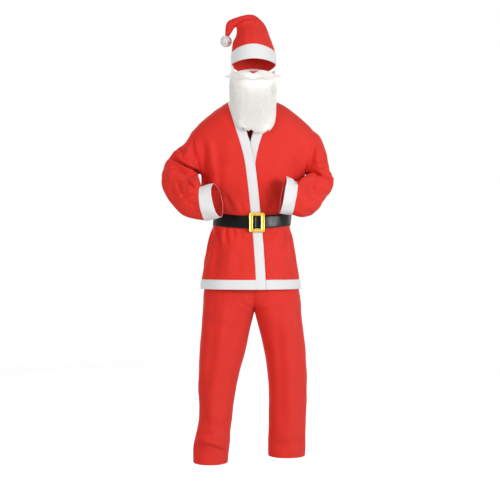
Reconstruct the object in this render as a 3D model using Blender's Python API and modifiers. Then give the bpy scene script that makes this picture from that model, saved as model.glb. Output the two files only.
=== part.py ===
"""Santa suit, worn and empty: wrap jacket with white trims, belt, trousers, hat and beard.

Metres, +Z up. The wearer faces -Y, so the wearer's left is at +X.
The origin is the middle of the neck, on the line of the shoulders.
Every cloth piece is a wall on a grid of points: rows run across the body, from bottom to top.
"""
import math
from collections import namedtuple

import bmesh
import bpy
import numpy as np
from mathutils import Matrix, Vector
from mathutils.bvhtree import BVHTree

# Cloth and gaps
FELT = 0.0016            # thickness of the red cloth
TRIM = 0.0016            # thickness of the white trims
SEAM = 0.0003            # gap between two pieces that are sewn together
FORWARD, BACKWARD = -1.0, 1.0
RIGHT, LEFT = -1.0, 1.0  # the wearer's sides, as signs of X

# Jacket: heights count rows, 0 at the hem, 9 at the underarm, 17 at the shoulder seam
UNDERARM_ROW, SHOULDER_ROW = 9.0, 17.0
YOKE_ROW = 13.0          # the back bends over to the shoulder seams above this row
BEYOND_MIDDLE = 0.5      # how far a front's sections run past the middle, as a share of their half
HEM_TRIM_ROW, BACK_NECK_ROW = 1.0, 16.0
BELT_BOTTOM_ROW, BELT_TOP_ROW = 4.0, 6.0
JACKET_ROWS = (0, 0.5, 1, 1.5, 2, 2.5, 3, 3.5, 4, 5, 6, 6.5, 7, 7.5, 8, 8.5,
               9, 10, 11, 12, 13, 14, 15, 16, 17)
FRONT_TRIM_WIDTH = 0.037
TRIM_COLUMNS = 2
FRONT_COLUMNS = 8        # from the front trim to the side seam or armhole
BACK_NECK_COLUMNS = 3    # from the middle of the back neck to the shoulder
ROUNDNESS = 0.92         # below 1 the body's sections are squarer than an ellipse
OVERLAP_LIFT = 0.0062    # how far the right front is lifted to pass over the left one
SIDE_SEAM_Y = 0.005

Side = namedtuple("Side", "row half_width z middle")
SIDE_SEAM = (
    Side(0, 0.198, -0.742, -0.009),
    Side(1, 0.194, -0.705, -0.010),
    Side(2, 0.180, -0.620, -0.010),
    Side(3, 0.1655, -0.540, -0.009),
    Side(4, 0.1515, -0.490, -0.006),
    Side(5, 0.1475, -0.4655, 0.000),
    Side(6, 0.151, -0.441, 0.000),
    Side(7, 0.178, -0.400, 0.000),
    Side(8, 0.200, -0.345, -0.002),
    Side(9, 0.207, -0.291, 0.000),
)
Middle = namedtuple("Middle", "row y z")
FRONT_MIDDLE = (
    Middle(0, -0.150, -0.742), Middle(1, -0.147, -0.705), Middle(2, -0.138, -0.622),
    Middle(3, -0.126, -0.548), Middle(4, -0.117, -0.504), Middle(5, -0.114, -0.480),
    Middle(6, -0.117, -0.456), Middle(7, -0.127, -0.410), Middle(8, -0.132, -0.350),
    Middle(9, -0.133, -0.295), Middle(10, -0.132, -0.250), Middle(11, -0.130, -0.206),
    Middle(12, -0.127, -0.162), Middle(13, -0.121, -0.118), Middle(14, -0.110, -0.076),
    Middle(15, -0.091, -0.038), Middle(16, -0.056, -0.002), Middle(17, 0.004, 0.028),
)
BACK_MIDDLE = (
    Middle(0, 0.140, -0.742), Middle(1, 0.137, -0.705), Middle(2, 0.128, -0.622),
    Middle(3, 0.116, -0.544), Middle(4, 0.106, -0.496), Middle(5, 0.104, -0.472),
    Middle(6, 0.107, -0.448), Middle(7, 0.117, -0.404), Middle(8, 0.123, -0.348),
    Middle(9, 0.126, -0.293), Middle(10, 0.127, -0.250), Middle(11, 0.127, -0.206),
    Middle(12, 0.125, -0.162), Middle(13, 0.121, -0.118), Middle(14, 0.113, -0.080),
    Middle(15, 0.101, -0.048), Middle(16, 0.086, -0.020), Middle(17, 0.067, 0.010),
)
SIDE_FALL = 1.9          # how the rows drop from the middle to the side, as a power
Turn = namedtuple("Turn", "row degrees")
EDGE_TURN = (Turn(0, 90), Turn(8, 90), Turn(9, 86), Turn(11, 72), Turn(13, 52), Turn(15, 42), Turn(17, 40))

# Free edge of each front, from the neck to the hem
Edge = namedtuple("Edge", "z x")
RIGHT_FRONT_EDGE = (
    Edge(-0.745, 0.050), Edge(-0.62, 0.043), Edge(-0.52, 0.0355), Edge(-0.45, 0.029), Edge(-0.32, 0.0155),
    Edge(-0.233, 0.0036), Edge(-0.17, -0.012), Edge(-0.12, -0.0276), Edge(0.03, -0.0705),
)
LEFT_FRONT_EDGE = (
    Edge(-0.745, -0.055), Edge(-0.52, -0.040), Edge(-0.45, -0.036), Edge(-0.32, -0.034),
    Edge(-0.233, -0.026), Edge(-0.17, -0.012), Edge(-0.12, 0.0036), Edge(0.03, 0.0705),
)

# Armhole: a tilted ellipse from the underarm to the shoulder tip
ARMHOLE_X, ARMHOLE_LEAN, ARMHOLE_Z, ARMHOLE_HALF_HEIGHT = 0.2235, 0.0165, -0.202, 0.089
ARMHOLE_HALF_DEPTH = 0.089

# Sleeves: each ring runs between a point on the outer side of the arm and one on its inner side, in
# front view; `slant` turns its far side towards the body
Round = namedtuple("Round", "outer_x outer_z inner_x inner_z y half_depth slant")
RIGHT_SLEEVE = (
    Round(-0.265, -0.154, -0.2095, -0.2880, 0.000, 0.086, 0.00),
    Round(-0.295, -0.181, -0.2115, -0.2865, -0.004, 0.084, 0.02),
    Round(-0.330, -0.217, -0.2135, -0.2850, -0.012, 0.081, 0.05),
    Round(-0.349, -0.253, -0.2155, -0.2840, -0.026, 0.079, 0.08),
    Round(-0.3585, -0.295, -0.2175, -0.2845, -0.046, 0.077, 0.10),
    Round(-0.3540, -0.341, -0.2180, -0.2880, -0.066, 0.075, 0.12),
    Round(-0.337, -0.379, -0.2175, -0.2930, -0.086, 0.073, 0.14),
    Round(-0.312, -0.412, -0.2160, -0.2990, -0.106, 0.071, 0.16),
    Round(-0.276, -0.448, -0.2135, -0.3070, -0.125, 0.068, 0.18),
    Round(-0.230, -0.4655, -0.2100, -0.3180, -0.141, 0.065, 0.18),
    Round(-0.186, -0.4725, -0.2025, -0.3425, -0.156, 0.062, 0.18),
    Round(-0.157, -0.4650, -0.1770, -0.3390, -0.167, 0.060, 0.24),
    Round(-0.1275, -0.4575, -0.1510, -0.3355, -0.177, 0.058, 0.30),
)
LEFT_SLEEVE = (
    Round(0.264, -0.132, 0.2100, -0.288, 0.000, 0.086, 0.00),
    Round(0.279, -0.163, 0.2120, -0.2865, -0.004, 0.084, 0.02),
    Round(0.289, -0.202, 0.2135, -0.286, -0.012, 0.082, 0.05),
    Round(0.295, -0.243, 0.2140, -0.286, -0.026, 0.080, 0.08),
    Round(0.301, -0.282, 0.2130, -0.287, -0.046, 0.078, 0.10),
    Round(0.315, -0.325, 0.2110, -0.291, -0.066, 0.076, 0.12),
    Round(0.298, -0.362, 0.2070, -0.297, -0.087, 0.074, 0.13),
    Round(0.269, -0.399, 0.2010, -0.303, -0.108, 0.072, 0.13),
    Round(0.244, -0.439, 0.1935, -0.309, -0.128, 0.070, 0.13),
    Round(0.204, -0.4570, 0.1830, -0.315, -0.146, 0.066, 0.12),
    Round(0.147, -0.4505, 0.1690, -0.325, -0.164, 0.061, 0.11),
    Round(0.1235, -0.449, 0.1475, -0.317, -0.174, 0.059, 0.09),
    Round(0.102, -0.4465, 0.1260, -0.309, -0.183, 0.057, 0.07),
)
CUFF_RINGS = 2

# Largest folds of the cloth: ridges, or troughs where the depth is below 0
Fold = namedtuple("Fold", "x0 y0 z0 x1 y1 z1 half_width depth")
JACKET_FOLDS = (
    Fold(-0.190, -0.075, -0.180, -0.165, -0.090, -0.400, 0.022, -0.007),
    Fold(-0.160, -0.100, -0.200, -0.128, -0.105, -0.400, 0.022, 0.005),
    Fold(0.185, -0.075, -0.200, 0.160, -0.090, -0.380, 0.022, -0.006),
    Fold(-0.150, -0.100, -0.690, -0.125, -0.110, -0.560, 0.028, -0.006),
    Fold(0.110, -0.120, -0.690, 0.090, -0.110, -0.560, 0.028, -0.005),
    Fold(-0.110, 0.110, -0.180, -0.060, 0.115, -0.400, 0.030, -0.007),
    Fold(0.100, 0.115, -0.180, 0.070, 0.115, -0.400, 0.030, -0.006),
    Fold(-0.080, 0.130, -0.700, -0.060, 0.120, -0.560, 0.030, -0.007),
    Fold(0.095, 0.125, -0.700, 0.070, 0.115, -0.560, 0.030, -0.006),
    Fold(-0.3500, -0.080, -0.225, -0.235, -0.120, -0.290, 0.016, -0.009),
    Fold(-0.3150, -0.100, -0.200, -0.245, -0.110, -0.245, 0.020, 0.005),
    Fold(0.3050, -0.120, -0.300, 0.210, -0.130, -0.290, 0.016, -0.009),
    Fold(0.2850, -0.110, -0.250, 0.225, -0.110, -0.255, 0.020, 0.004),
)
TROUSER_FOLDS = (
    Fold(-0.225, -0.060, -1.375, -0.110, -0.080, -1.395, 0.022, -0.009),
    Fold(-0.225, -0.060, -1.325, -0.100, -0.080, -1.340, 0.024, 0.006),
    Fold(0.205, -0.060, -1.345, 0.080, -0.080, -1.365, 0.022, -0.006),
    Fold(-0.225, 0.070, -1.350, -0.110, 0.095, -1.370, 0.024, -0.008),
    Fold(0.205, 0.070, -1.320, 0.080, 0.095, -1.340, 0.024, -0.007),
    Fold(-0.185, -0.075, -0.860, -0.050, -0.110, -0.900, 0.026, -0.005),
    Fold(0.180, -0.075, -0.860, 0.050, -0.110, -0.900, 0.026, -0.005),
    Fold(-0.130, 0.110, -0.870, -0.020, 0.090, -0.840, 0.026, -0.006),
    Fold(0.130, 0.110, -0.870, 0.025, 0.090, -0.840, 0.026, -0.006),
)

# Trousers: the outer and the inner edge of each leg; above the crotch the inner one is past the middle
CROTCH_Z = -0.832
Leg = namedtuple("Leg", "z outer inner front back y")
RIGHT_LEG = (
    Leg(-1.436, -0.239, -0.101, 0.088, 0.092, 0.012),
    Leg(-1.368, -0.237, -0.095, 0.090, 0.094, 0.008),
    Leg(-1.268, -0.216, -0.086, 0.092, 0.094, 0.006),
    Leg(-1.128, -0.217, -0.068, 0.097, 0.098, 0.004),
    Leg(-0.972, -0.210, -0.028, 0.108, 0.106, 0.003),
    Leg(-0.852, -0.200, -0.001, 0.116, 0.116, 0.003),
    Leg(-0.832, -0.199, 0.006, 0.117, 0.118, 0.003),
    Leg(-0.800, -0.197, 0.036, 0.119, 0.120, 0.003),
    Leg(-0.748, -0.193, 0.095, 0.120, 0.119, 0.003),
    Leg(-0.700, -0.183, 0.138, 0.119, 0.116, 0.003),
    Leg(-0.620, -0.166, 0.152, 0.116, 0.110, 0.003),
    Leg(-0.540, -0.151, 0.142, 0.111, 0.103, 0.003),
    Leg(-0.500, -0.1465, 0.1420, 0.1105, 0.0990, 0.003),
    Leg(-0.462, -0.1438, 0.1438, 0.1120, 0.0980, 0.003),
)
LEFT_LEG = (
    Leg(-1.408, 0.208, 0.061, 0.090, 0.092, 0.012),
    Leg(-1.330, 0.209, 0.062, 0.092, 0.094, 0.008),
    Leg(-1.268, 0.210, 0.064, 0.093, 0.094, 0.006),
    Leg(-1.128, 0.213, 0.065, 0.098, 0.098, 0.004),
    Leg(-0.972, 0.207, 0.043, 0.108, 0.106, 0.003),
    Leg(-0.852, 0.193, 0.012, 0.116, 0.116, 0.003),
    Leg(-0.832, 0.191, 0.006, 0.117, 0.118, 0.003),
    Leg(-0.800, 0.189, -0.026, 0.119, 0.120, 0.003),
    Leg(-0.748, 0.182, -0.085, 0.120, 0.119, 0.003),
    Leg(-0.700, 0.170, -0.128, 0.119, 0.116, 0.003),
    Leg(-0.620, 0.153, -0.144, 0.116, 0.110, 0.003),
    Leg(-0.540, 0.142, -0.136, 0.111, 0.103, 0.003),
    Leg(-0.500, 0.1405, -0.1400, 0.1105, 0.0990, 0.003),
    Leg(-0.462, 0.1438, -0.1438, 0.1120, 0.0980, 0.003),
)
LEGS = {RIGHT: RIGHT_LEG, LEFT: LEFT_LEG}
CROTCH_X, CROTCH_TOP_Z = 0.006, -0.6     # the middle seam leans to the crotch below this height
SPLIT_ROWS, LEG_ROWS = 9, 11
SPLIT_CROWDING, FOOT_CROWDING = 1.6, 1.25
TROUSER_COLUMNS = 8

# Belt: its right part ends over its left one, in the buckle
BELT_SKIN = 0.002
BELT_GAP = 0.0008
BELT_LIFT = OVERLAP_LIFT + TRIM + SEAM
BELT_END_X, BELT_START_X = 0.013, -0.036
BELT_STEP_START, BELT_STEP_LENGTH = 0.040, 0.034     # where its end rises over its start
BELT_COLUMNS = 13        # each quarter of its way round
BUCKLE_X, BUCKLE_Z, BUCKLE_TURN = 0.0143, -0.4805, math.radians(5.0)
BUCKLE_WIDTH, BUCKLE_HEIGHT, BUCKLE_SKIN, BUCKLE_BEVEL = 0.060, 0.076, 0.0045, 0.0013
BUCKLE_HOLE_WIDTH, BUCKLE_HOLE_HEIGHT = 0.0315, 0.0515
BAR_WIDTH, BAR_SKIN, BAR_X = 0.005, 0.0018, -0.009
BAR_FOOT, BAR_ROOM = 0.004, 0.0005       # how deep the bar's feet are in the frame, and its play there

# Hat: each ring runs between a point on the right side of the head and one on the left side
Ring = namedtuple("Ring", "right_x right_z left_x left_z front back rise drop")
HAT_RINGS = (
    Ring(-0.084, 0.150, 0.089, 0.151, 0.105, 0.108, 0.012, 0.024),
    Ring(-0.085, 0.196, 0.0875, 0.197, 0.104, 0.107, 0.023, 0.018),
    Ring(-0.080, 0.238, 0.0745, 0.238, 0.092, 0.094, 0.014, 0.010),
    Ring(-0.067, 0.266, 0.0655, 0.264, 0.079, 0.080, 0.006, 0.004),
    Ring(-0.065, 0.288, 0.056, 0.292, 0.066, 0.068, 0.0, 0.0),
    Ring(-0.0650, 0.2965, 0.040, 0.3205, 0.055, 0.056, 0.0, 0.0),
    Ring(-0.0665, 0.3025, 0.0070, 0.3470, 0.043, 0.044, 0.0, 0.0),
    Ring(-0.0700, 0.3050, -0.030, 0.3500, 0.035, 0.036, 0.0, 0.0),
    Ring(-0.0745, 0.3015, -0.0700, 0.3385, 0.029, 0.029, 0.0, 0.0),
    Ring(-0.0800, 0.2935, -0.0990, 0.3255, 0.023, 0.023, 0.0, 0.0),
    Ring(-0.0875, 0.2820, -0.1085, 0.3000, 0.017, 0.017, 0.0, 0.0),
    Ring(-0.0965, 0.2680, -0.1105, 0.2700, 0.010, 0.010, 0.0, 0.0),
)
HAT_COLUMNS = 20
HAT_BAND_STEPS, HAT_STEPS = 2, 2
POMPOM_CENTRE, POMPOM_CORE, POMPOM_RADIUS = (-0.108, 0.0, 0.2465), 0.0160, 0.0225
LOCK_PARTING = 0.0006    # between the roots of the pompom's 80 locks

# Beard: hangs from the ears, over the chin, to the chest; sizes are of its inner side
Fur = namedtuple("Fur", "z middle half_width front side_y skin")
BEARD = (
    Fur(-0.135, 0.010, 0.047, -0.136, -0.122, 0.010),
    Fur(-0.100, 0.008, 0.060, -0.136, -0.110, 0.015),
    Fur(-0.060, 0.006, 0.065, -0.132, -0.092, 0.019),
    Fur(0.000, 0.000, 0.0730, -0.126, -0.062, 0.019),
    Fur(0.060, 0.000, 0.0780, -0.118, -0.036, 0.017),
    Fur(0.110, 0.000, 0.0805, -0.106, -0.020, 0.010),
    Fur(0.150, 0.000, 0.0805, -0.098, -0.016, 0.008),
)
BEARD_LOCKS = 13
BEARD_ROWS = 10
LOCK_DEPTH, LOCK_TIP = 0.0035, 0.009
Brim = namedtuple("Brim", "turn top bottom")
BEARD_OUTLINE = (
    Brim(-1.0, 0.1465, -0.064), Brim(-0.85, 0.140, -0.092), Brim(-0.7, 0.118, -0.104),
    Brim(-0.5, 0.099, -0.111), Brim(-0.2, 0.076, -0.118), Brim(0.0, 0.070, -0.123),
    Brim(0.2, 0.076, -0.127), Brim(0.5, 0.098, -0.120), Brim(0.85, 0.110, -0.104),
    Brim(1.0, 0.124, -0.088),
)
Lip = namedtuple("Lip", "x z half_height half_depth y")
MOUSTACHE = (
    Lip(-0.108, 0.096, 0.0015, 0.0015, -0.098), Lip(-0.088, 0.093, 0.008, 0.006, -0.112),
    Lip(-0.060, 0.094, 0.015, 0.010, -0.132), Lip(-0.030, 0.096, 0.016, 0.012, -0.142),
    Lip(0.0, 0.092, 0.009, 0.010, -0.146), Lip(0.030, 0.096, 0.016, 0.012, -0.142),
    Lip(0.060, 0.094, 0.015, 0.010, -0.132), Lip(0.088, 0.093, 0.008, 0.006, -0.112),
    Lip(0.108, 0.096, 0.0015, 0.0015, -0.098),
)
MOUSTACHE_STATIONS, MOUSTACHE_SIDES = 19, 8
ELASTIC_HALF_WIDTH, ELASTIC_DEPTH, ELASTIC_HEIGHT, ELASTIC_SKIN = 0.0803, 0.1050, 0.008, 0.001
ELASTIC_Z, ELASTIC_RISE, ELASTIC_START, ELASTIC_COLUMNS = 0.116, 0.027, -0.25, 24
RESTING_GAP = 0.0005
CLEAR_AHEAD = 0.2        # nothing of the suit stands further forward than this from its neighbour

RED, WHITE = (0.78, 0.035, 0.03, 1.0), (0.86, 0.86, 0.88, 1.0)
BLACK, GOLD, IVORY = (0.012, 0.012, 0.014, 1.0), (0.74, 0.50, 0.06, 1.0), (0.85, 0.82, 0.77, 1.0)


# ---------------------------------------------------------------- tables and grids
def smooth(rows, at):
    """The row of a table at a value of its first column, on a smooth curve through the table's rows."""
    values = np.array(rows, float)
    keys = values[:, 0]
    slopes = np.gradient(values, keys, axis=0)
    at = min(max(at, keys[0]), keys[-1])
    i = min(int(np.searchsorted(keys, at, side="right")) - 1, len(keys) - 2)
    step = keys[i + 1] - keys[i]
    t = (at - keys[i]) / step
    low = (2 * t**3 - 3 * t**2 + 1) * values[i] + (t**3 - 2 * t**2 + t) * step * slopes[i]
    high = (3 * t**2 - 2 * t**3) * values[i + 1] + (t**3 - t**2) * step * slopes[i + 1]
    return type(rows[0])(*(low + high))


def unit(vectors):
    return vectors / np.maximum(np.linalg.norm(vectors, axis=-1, keepdims=True), 1e-12)


def ease(t):
    """0 to 1 with level ends."""
    t = np.clip(t, 0.0, 1.0)
    return t * t * (3 - 2 * t)


def distances(curve):
    """How far each point of a curve lies from its start, along it."""
    return np.concatenate(([0.0], np.cumsum(np.linalg.norm(np.diff(curve, axis=0), axis=1))))


def along(curve, stations):
    """Points of a curve at distances from its start."""
    reach = distances(curve)
    return np.stack([np.interp(stations, reach, curve[:, axis]) for axis in range(3)], axis=1)


def shared_normals(grids, signs):
    """Outward normals of several grids that meet at seams: points that coincide share one normal."""
    corners, sums = [], []
    for grid, sign in zip(grids, signs):
        faces = sign * np.cross(grid[1:, 1:] - grid[:-1, :-1], grid[1:, :-1] - grid[:-1, 1:])
        total = np.zeros_like(grid)
        for part in (total[:-1, :-1], total[1:, :-1], total[:-1, 1:], total[1:, 1:]):
            part += faces
        corners.append(np.round(grid * 1e5).astype(int).reshape(-1, 3))
        sums.append(total.reshape(-1, 3))
    _, index = np.unique(np.concatenate(corners), axis=0, return_inverse=True)
    index = index.ravel()
    merged = np.zeros((index.max() + 1, 3))
    np.add.at(merged, index, np.concatenate(sums))
    ends = np.cumsum([len(total) for total in sums])[:-1]
    return [part.reshape(grid.shape) for part, grid in zip(np.split(unit(merged[index]), ends), grids)]


def folded(grid, outward, folds):
    """The grid with its folds: each one fades evenly with the distance from its line."""
    grid = grid.copy()
    for fold in folds:
        start, line = np.array(fold[:3]), np.array(fold[3:6]) - fold[:3]
        at = np.clip((grid - start) @ line / (line @ line), 0, 1)
        away = np.linalg.norm(grid - start - at[..., None] * line, axis=-1)
        grid += outward * (fold.depth * np.exp(-((away / fold.half_width) ** 2)))[..., None]
    return grid


def inset(grid, closed):
    """The grid with its borders drawn in by half a seam's gap."""
    drawn = grid.copy()
    drawn[0] += unit(grid[1] - grid[0]) * SEAM / 2
    drawn[-1] += unit(grid[-2] - grid[-1]) * SEAM / 2
    if not closed:
        drawn[:, 0] += unit(grid[:, 1] - grid[:, 0]) * SEAM / 2
        drawn[:, -1] += unit(grid[:, -2] - grid[:, -1]) * SEAM / 2
    return drawn


# ---------------------------------------------------------------- objects
def new_material(name, colour, roughness, metallic=0.0):
    material = bpy.data.materials.new(name)
    material.use_nodes = True
    shader = material.node_tree.nodes["Principled BSDF"]
    shader.inputs["Base Color"].default_value = colour
    shader.inputs["Roughness"].default_value = roughness
    shader.inputs["Metallic"].default_value = metallic
    return material


def add_object(name, bm, material):
    bmesh.ops.recalc_face_normals(bm, faces=bm.faces)
    mesh = bpy.data.meshes.new(name)
    bm.to_mesh(mesh)
    bm.free()
    mesh.materials.append(material)
    mesh.shade_smooth()
    piece = bpy.data.objects.new(name, mesh)
    bpy.data.collections["santa_suit"].objects.link(piece)
    return piece


def wall(name, points, normals, skin, material, start=0.0, closed=False):
    """A closed wall on a grid of points, `skin` thick, whose inner side is `start` out from the points.

    `skin` and `start` are lengths, or grids of lengths. A closed grid's last column meets its first.
    """
    skin, start = (np.broadcast_to(size, points.shape[:2])[..., None] for size in (skin, start))
    sides = [inset(points, closed) + normals * start, inset(points, closed) + normals * (start + skin)]
    rows, columns = points.shape[:2]
    bm = bmesh.new()
    inner, outer = ([[bm.verts.new(p) for p in row] for row in side] for side in sides)
    span = columns if closed else columns - 1

    def quad(a, b, c, d):
        bm.faces.new((a, b, c))
        bm.faces.new((a, c, d))

    for i in range(rows - 1):
        for j in range(span):
            k = (j + 1) % columns
            quad(inner[i][j], inner[i][k], inner[i + 1][k], inner[i + 1][j])
            quad(outer[i][j], outer[i][k], outer[i + 1][k], outer[i + 1][j])
    for j in range(span):
        k = (j + 1) % columns
        for i in (0, rows - 1):
            quad(inner[i][j], inner[i][k], outer[i][k], outer[i][j])
    for i in range(rows - 1) if not closed else ():
        for j in (0, columns - 1):
            quad(inner[i][j], inner[i + 1][j], outer[i + 1][j], outer[i][j])
    return add_object(name, bm, material)


# ---------------------------------------------------------------- jacket
def armhole(side, row, facing):
    """A point of the armhole's front or back half, from the underarm to the shoulder tip."""
    turn = math.pi * ((row - UNDERARM_ROW) / (SHOULDER_ROW - UNDERARM_ROW) - 0.5)
    x = ARMHOLE_X + ARMHOLE_LEAN * math.sin(turn)
    y = SIDE_SEAM_Y * (0.5 - 0.5 * math.sin(turn)) + facing * ARMHOLE_HALF_DEPTH * math.cos(turn)
    return np.array([side * x, y, ARMHOLE_Z + ARMHOLE_HALF_HEIGHT * math.sin(turn)])


def body_side(side, row, facing):
    """Where a row of the jacket ends: on the side seam or on the armhole."""
    if row >= UNDERARM_ROW:
        return armhole(side, row, facing)
    seam = smooth(SIDE_SEAM, row)
    return np.array([seam.middle + side * seam.half_width, SIDE_SEAM_Y, seam.z])


def body_row(side, row, facing, lift=0.0, beyond=0.0):
    """Half a section of the body from its middle, or from `beyond` it, to the side seam or armhole."""
    middle = smooth(FRONT_MIDDLE if facing == FORWARD else BACK_MIDDLE, row)
    end = body_side(side, row, facing)
    turn = math.radians(min(smooth(EDGE_TURN, row).degrees, 90))
    s = np.linspace(-beyond, 1.0, 161)
    reach = np.sin(np.abs(s) * turn) ** ROUNDNESS / math.sin(turn) ** ROUNDNESS
    fall = (1 - np.abs(np.cos(s * turn)) ** ROUNDNESS) / (1 - abs(math.cos(turn)) ** ROUNDNESS)
    centre_x = smooth(SIDE_SEAM, min(row, UNDERARM_ROW)).middle
    x = centre_x + (end[0] - centre_x) * np.sign(s) * reach
    y = middle.y + (end[1] - middle.y) * fall + facing * lift * (1 - ease((s - 0.25) / 0.65))
    z = middle.z + (end[2] - middle.z) * reach**SIDE_FALL
    return np.stack([x, y, z], axis=1)


def beyond_edge(curve, side, edge):
    """The part of a section that lies past a front's free edge."""
    levels = np.linspace(edge[0].z, edge[-1].z, 200)
    edge_x = np.interp(curve[:, 2], levels, [smooth(edge, z).x for z in levels])
    past = side * (curve[:, 0] - edge_x)
    first = int(np.argmax(past >= 0))
    share = past[first] / (past[first] - past[first - 1])
    return np.concatenate(([curve[first] + (curve[first - 1] - curve[first]) * share], curve[first:]))


def front_grid(side, edge, lift):
    """A front's points: columns run from its free edge, across the trim, to the side seam or armhole."""
    rows = []
    for row in JACKET_ROWS:
        curve = body_row(side, row, FORWARD, lift, beyond=BEYOND_MIDDLE)
        curve = beyond_edge(curve, side, edge)
        length = distances(curve)[-1]
        trim = np.linspace(0, FRONT_TRIM_WIDTH, TRIM_COLUMNS + 1)
        rest = np.linspace(FRONT_TRIM_WIDTH, length, FRONT_COLUMNS + 1)[1:]
        rows.append(along(curve, np.concatenate((trim, rest))))
    return np.array(rows)


def shoulder_line(side):
    """The shoulder seam, from the edge of the neck to the tip of the shoulder."""
    curve = body_row(side, SHOULDER_ROW, FORWARD)
    return beyond_edge(curve, side, RIGHT_FRONT_EDGE if side == RIGHT else LEFT_FRONT_EDGE)


def back_half(side):
    """Half of the back's points: columns run from the middle, under the neck, to the side or armhole."""
    line = shoulder_line(side)
    nape = smooth(BACK_MIDDLE, SHOULDER_ROW)
    bend = np.linspace(0, math.pi / 2, 31)[:-1]
    neck = np.stack([line[0][0] * np.sin(bend), line[0][1] + (nape.y - line[0][1]) * np.cos(bend),
                     nape.z + (line[0][2] - nape.z) * np.sin(bend) ** 2], axis=1)
    top = np.concatenate((neck, line))
    lengths = distances(top)
    corner = lengths[len(neck)]
    stops = np.concatenate((
        np.linspace(0, corner, BACK_NECK_COLUMNS + 1),
        np.linspace(corner, corner + FRONT_TRIM_WIDTH, TRIM_COLUMNS + 1)[1:],
        np.linspace(corner + FRONT_TRIM_WIDTH, lengths[-1], FRONT_COLUMNS + 1)[1:])) / lengths[-1]
    even = np.linspace(0, 1, len(stops))
    top = along(top, stops * lengths[-1])
    rows = []
    for row in JACKET_ROWS:
        share = ease((row - UNDERARM_ROW) / (SHOULDER_ROW - UNDERARM_ROW))
        fractions = even + (stops - even) * share
        curve = body_row(side, min(row, YOKE_ROW), BACKWARD)
        points = along(curve, fractions * distances(curve)[-1])
        if row > YOKE_ROW:
            rise = (row - YOKE_ROW) / (SHOULDER_ROW - YOKE_ROW)
            points = points + (top - points) * rise
            middle = smooth(BACK_MIDDLE, row)
            to_middle = np.array([points[0][0], middle.y, middle.z]) - points[0]
            to_end = body_side(side, row, BACKWARD) - points[-1]
            points += np.outer((1 - even) ** 1.5, to_middle) + np.outer(even**1.5, to_end)
        rows.append(points)
    return np.array(rows)


def sleeve_grid(side, table):
    """A sleeve's points: rings from the armhole, round the elbow, to the open cuff."""
    rows = [row for row in JACKET_ROWS if row >= UNDERARM_ROW]
    loop = [armhole(side, row, FORWARD) for row in rows[::-1]]
    loop += [armhole(side, row, BACKWARD) for row in rows[1:-1]]
    rings = [loop]
    for ring in table:
        outer = np.array([ring.outer_x, ring.y, ring.outer_z])
        inner = np.array([ring.inner_x, ring.y, ring.inner_z])
        far = np.array([-side * ring.slant, 1.0, 0.0]) * ring.half_depth
        turn = np.linspace(0, 2 * math.pi, len(loop), endpoint=False)
        rings.append((outer + inner) / 2 + np.outer(np.cos(turn), outer - inner) / 2
                     - np.outer(np.sin(turn), far))
    return np.array(rings)


def build_jacket(red, white):
    right = front_grid(RIGHT, RIGHT_FRONT_EDGE, OVERLAP_LIFT)
    left = front_grid(LEFT, LEFT_FRONT_EDGE, 0.0)
    back = np.concatenate((back_half(LEFT)[:, ::-1], back_half(RIGHT)[:, 1:]), axis=1)
    sleeves = [sleeve_grid(RIGHT, RIGHT_SLEEVE), sleeve_grid(LEFT, LEFT_SLEEVE)]
    sleeves = [np.concatenate((grid, grid[:, :1]), axis=1) for grid in sleeves]
    grids = [right, left, back] + sleeves
    signs = [RIGHT, LEFT, 1.0, RIGHT, LEFT]
    normals = shared_normals(grids, signs)
    grids = [folded(grid, outward, JACKET_FOLDS) for grid, outward in zip(grids, normals)]
    normals = shared_normals(grids, signs)
    right, left, back, *sleeves = grids

    wall("jacket_front_right", right, normals[0], FELT, red)
    wall("jacket_front_left", left, normals[1], FELT, red)
    wall("jacket_back", back, normals[2], FELT, red)
    hem = JACKET_ROWS.index(HEM_TRIM_ROW) + 1
    trims = (("right", right, normals[0]), ("left", left, normals[1]))
    for name, grid, outward in trims:
        columns = slice(0, TRIM_COLUMNS + 1)
        wall("front_band_" + name, grid[:, columns], outward[:, columns], TRIM, white, FELT + SEAM)
        columns = slice(TRIM_COLUMNS, None)
        wall("hem_band_" + name, grid[:hem, columns], outward[:hem, columns], TRIM, white, FELT + SEAM)
    wall("hem_band_back", back[:hem], normals[2][:hem], TRIM, white, FELT + SEAM)
    middle = back.shape[1] // 2
    reach = BACK_NECK_COLUMNS + TRIM_COLUMNS
    rows = slice(JACKET_ROWS.index(BACK_NECK_ROW), None)
    columns = slice(middle - reach, middle + reach + 1)
    wall("neck_band", back[rows, columns], normals[2][rows, columns], TRIM, white, FELT + SEAM)

    for name, grid, outward in zip(("right", "left"), sleeves, normals[3:]):
        grid, outward = grid[:, :-1], outward[:, :-1]
        wall("sleeve_" + name, grid, outward, FELT, red, closed=True)
        cuff = slice(-CUFF_RINGS - 1, None)
        wall("cuff_" + name, grid[cuff], outward[cuff], TRIM, white, FELT + SEAM, closed=True)


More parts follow.
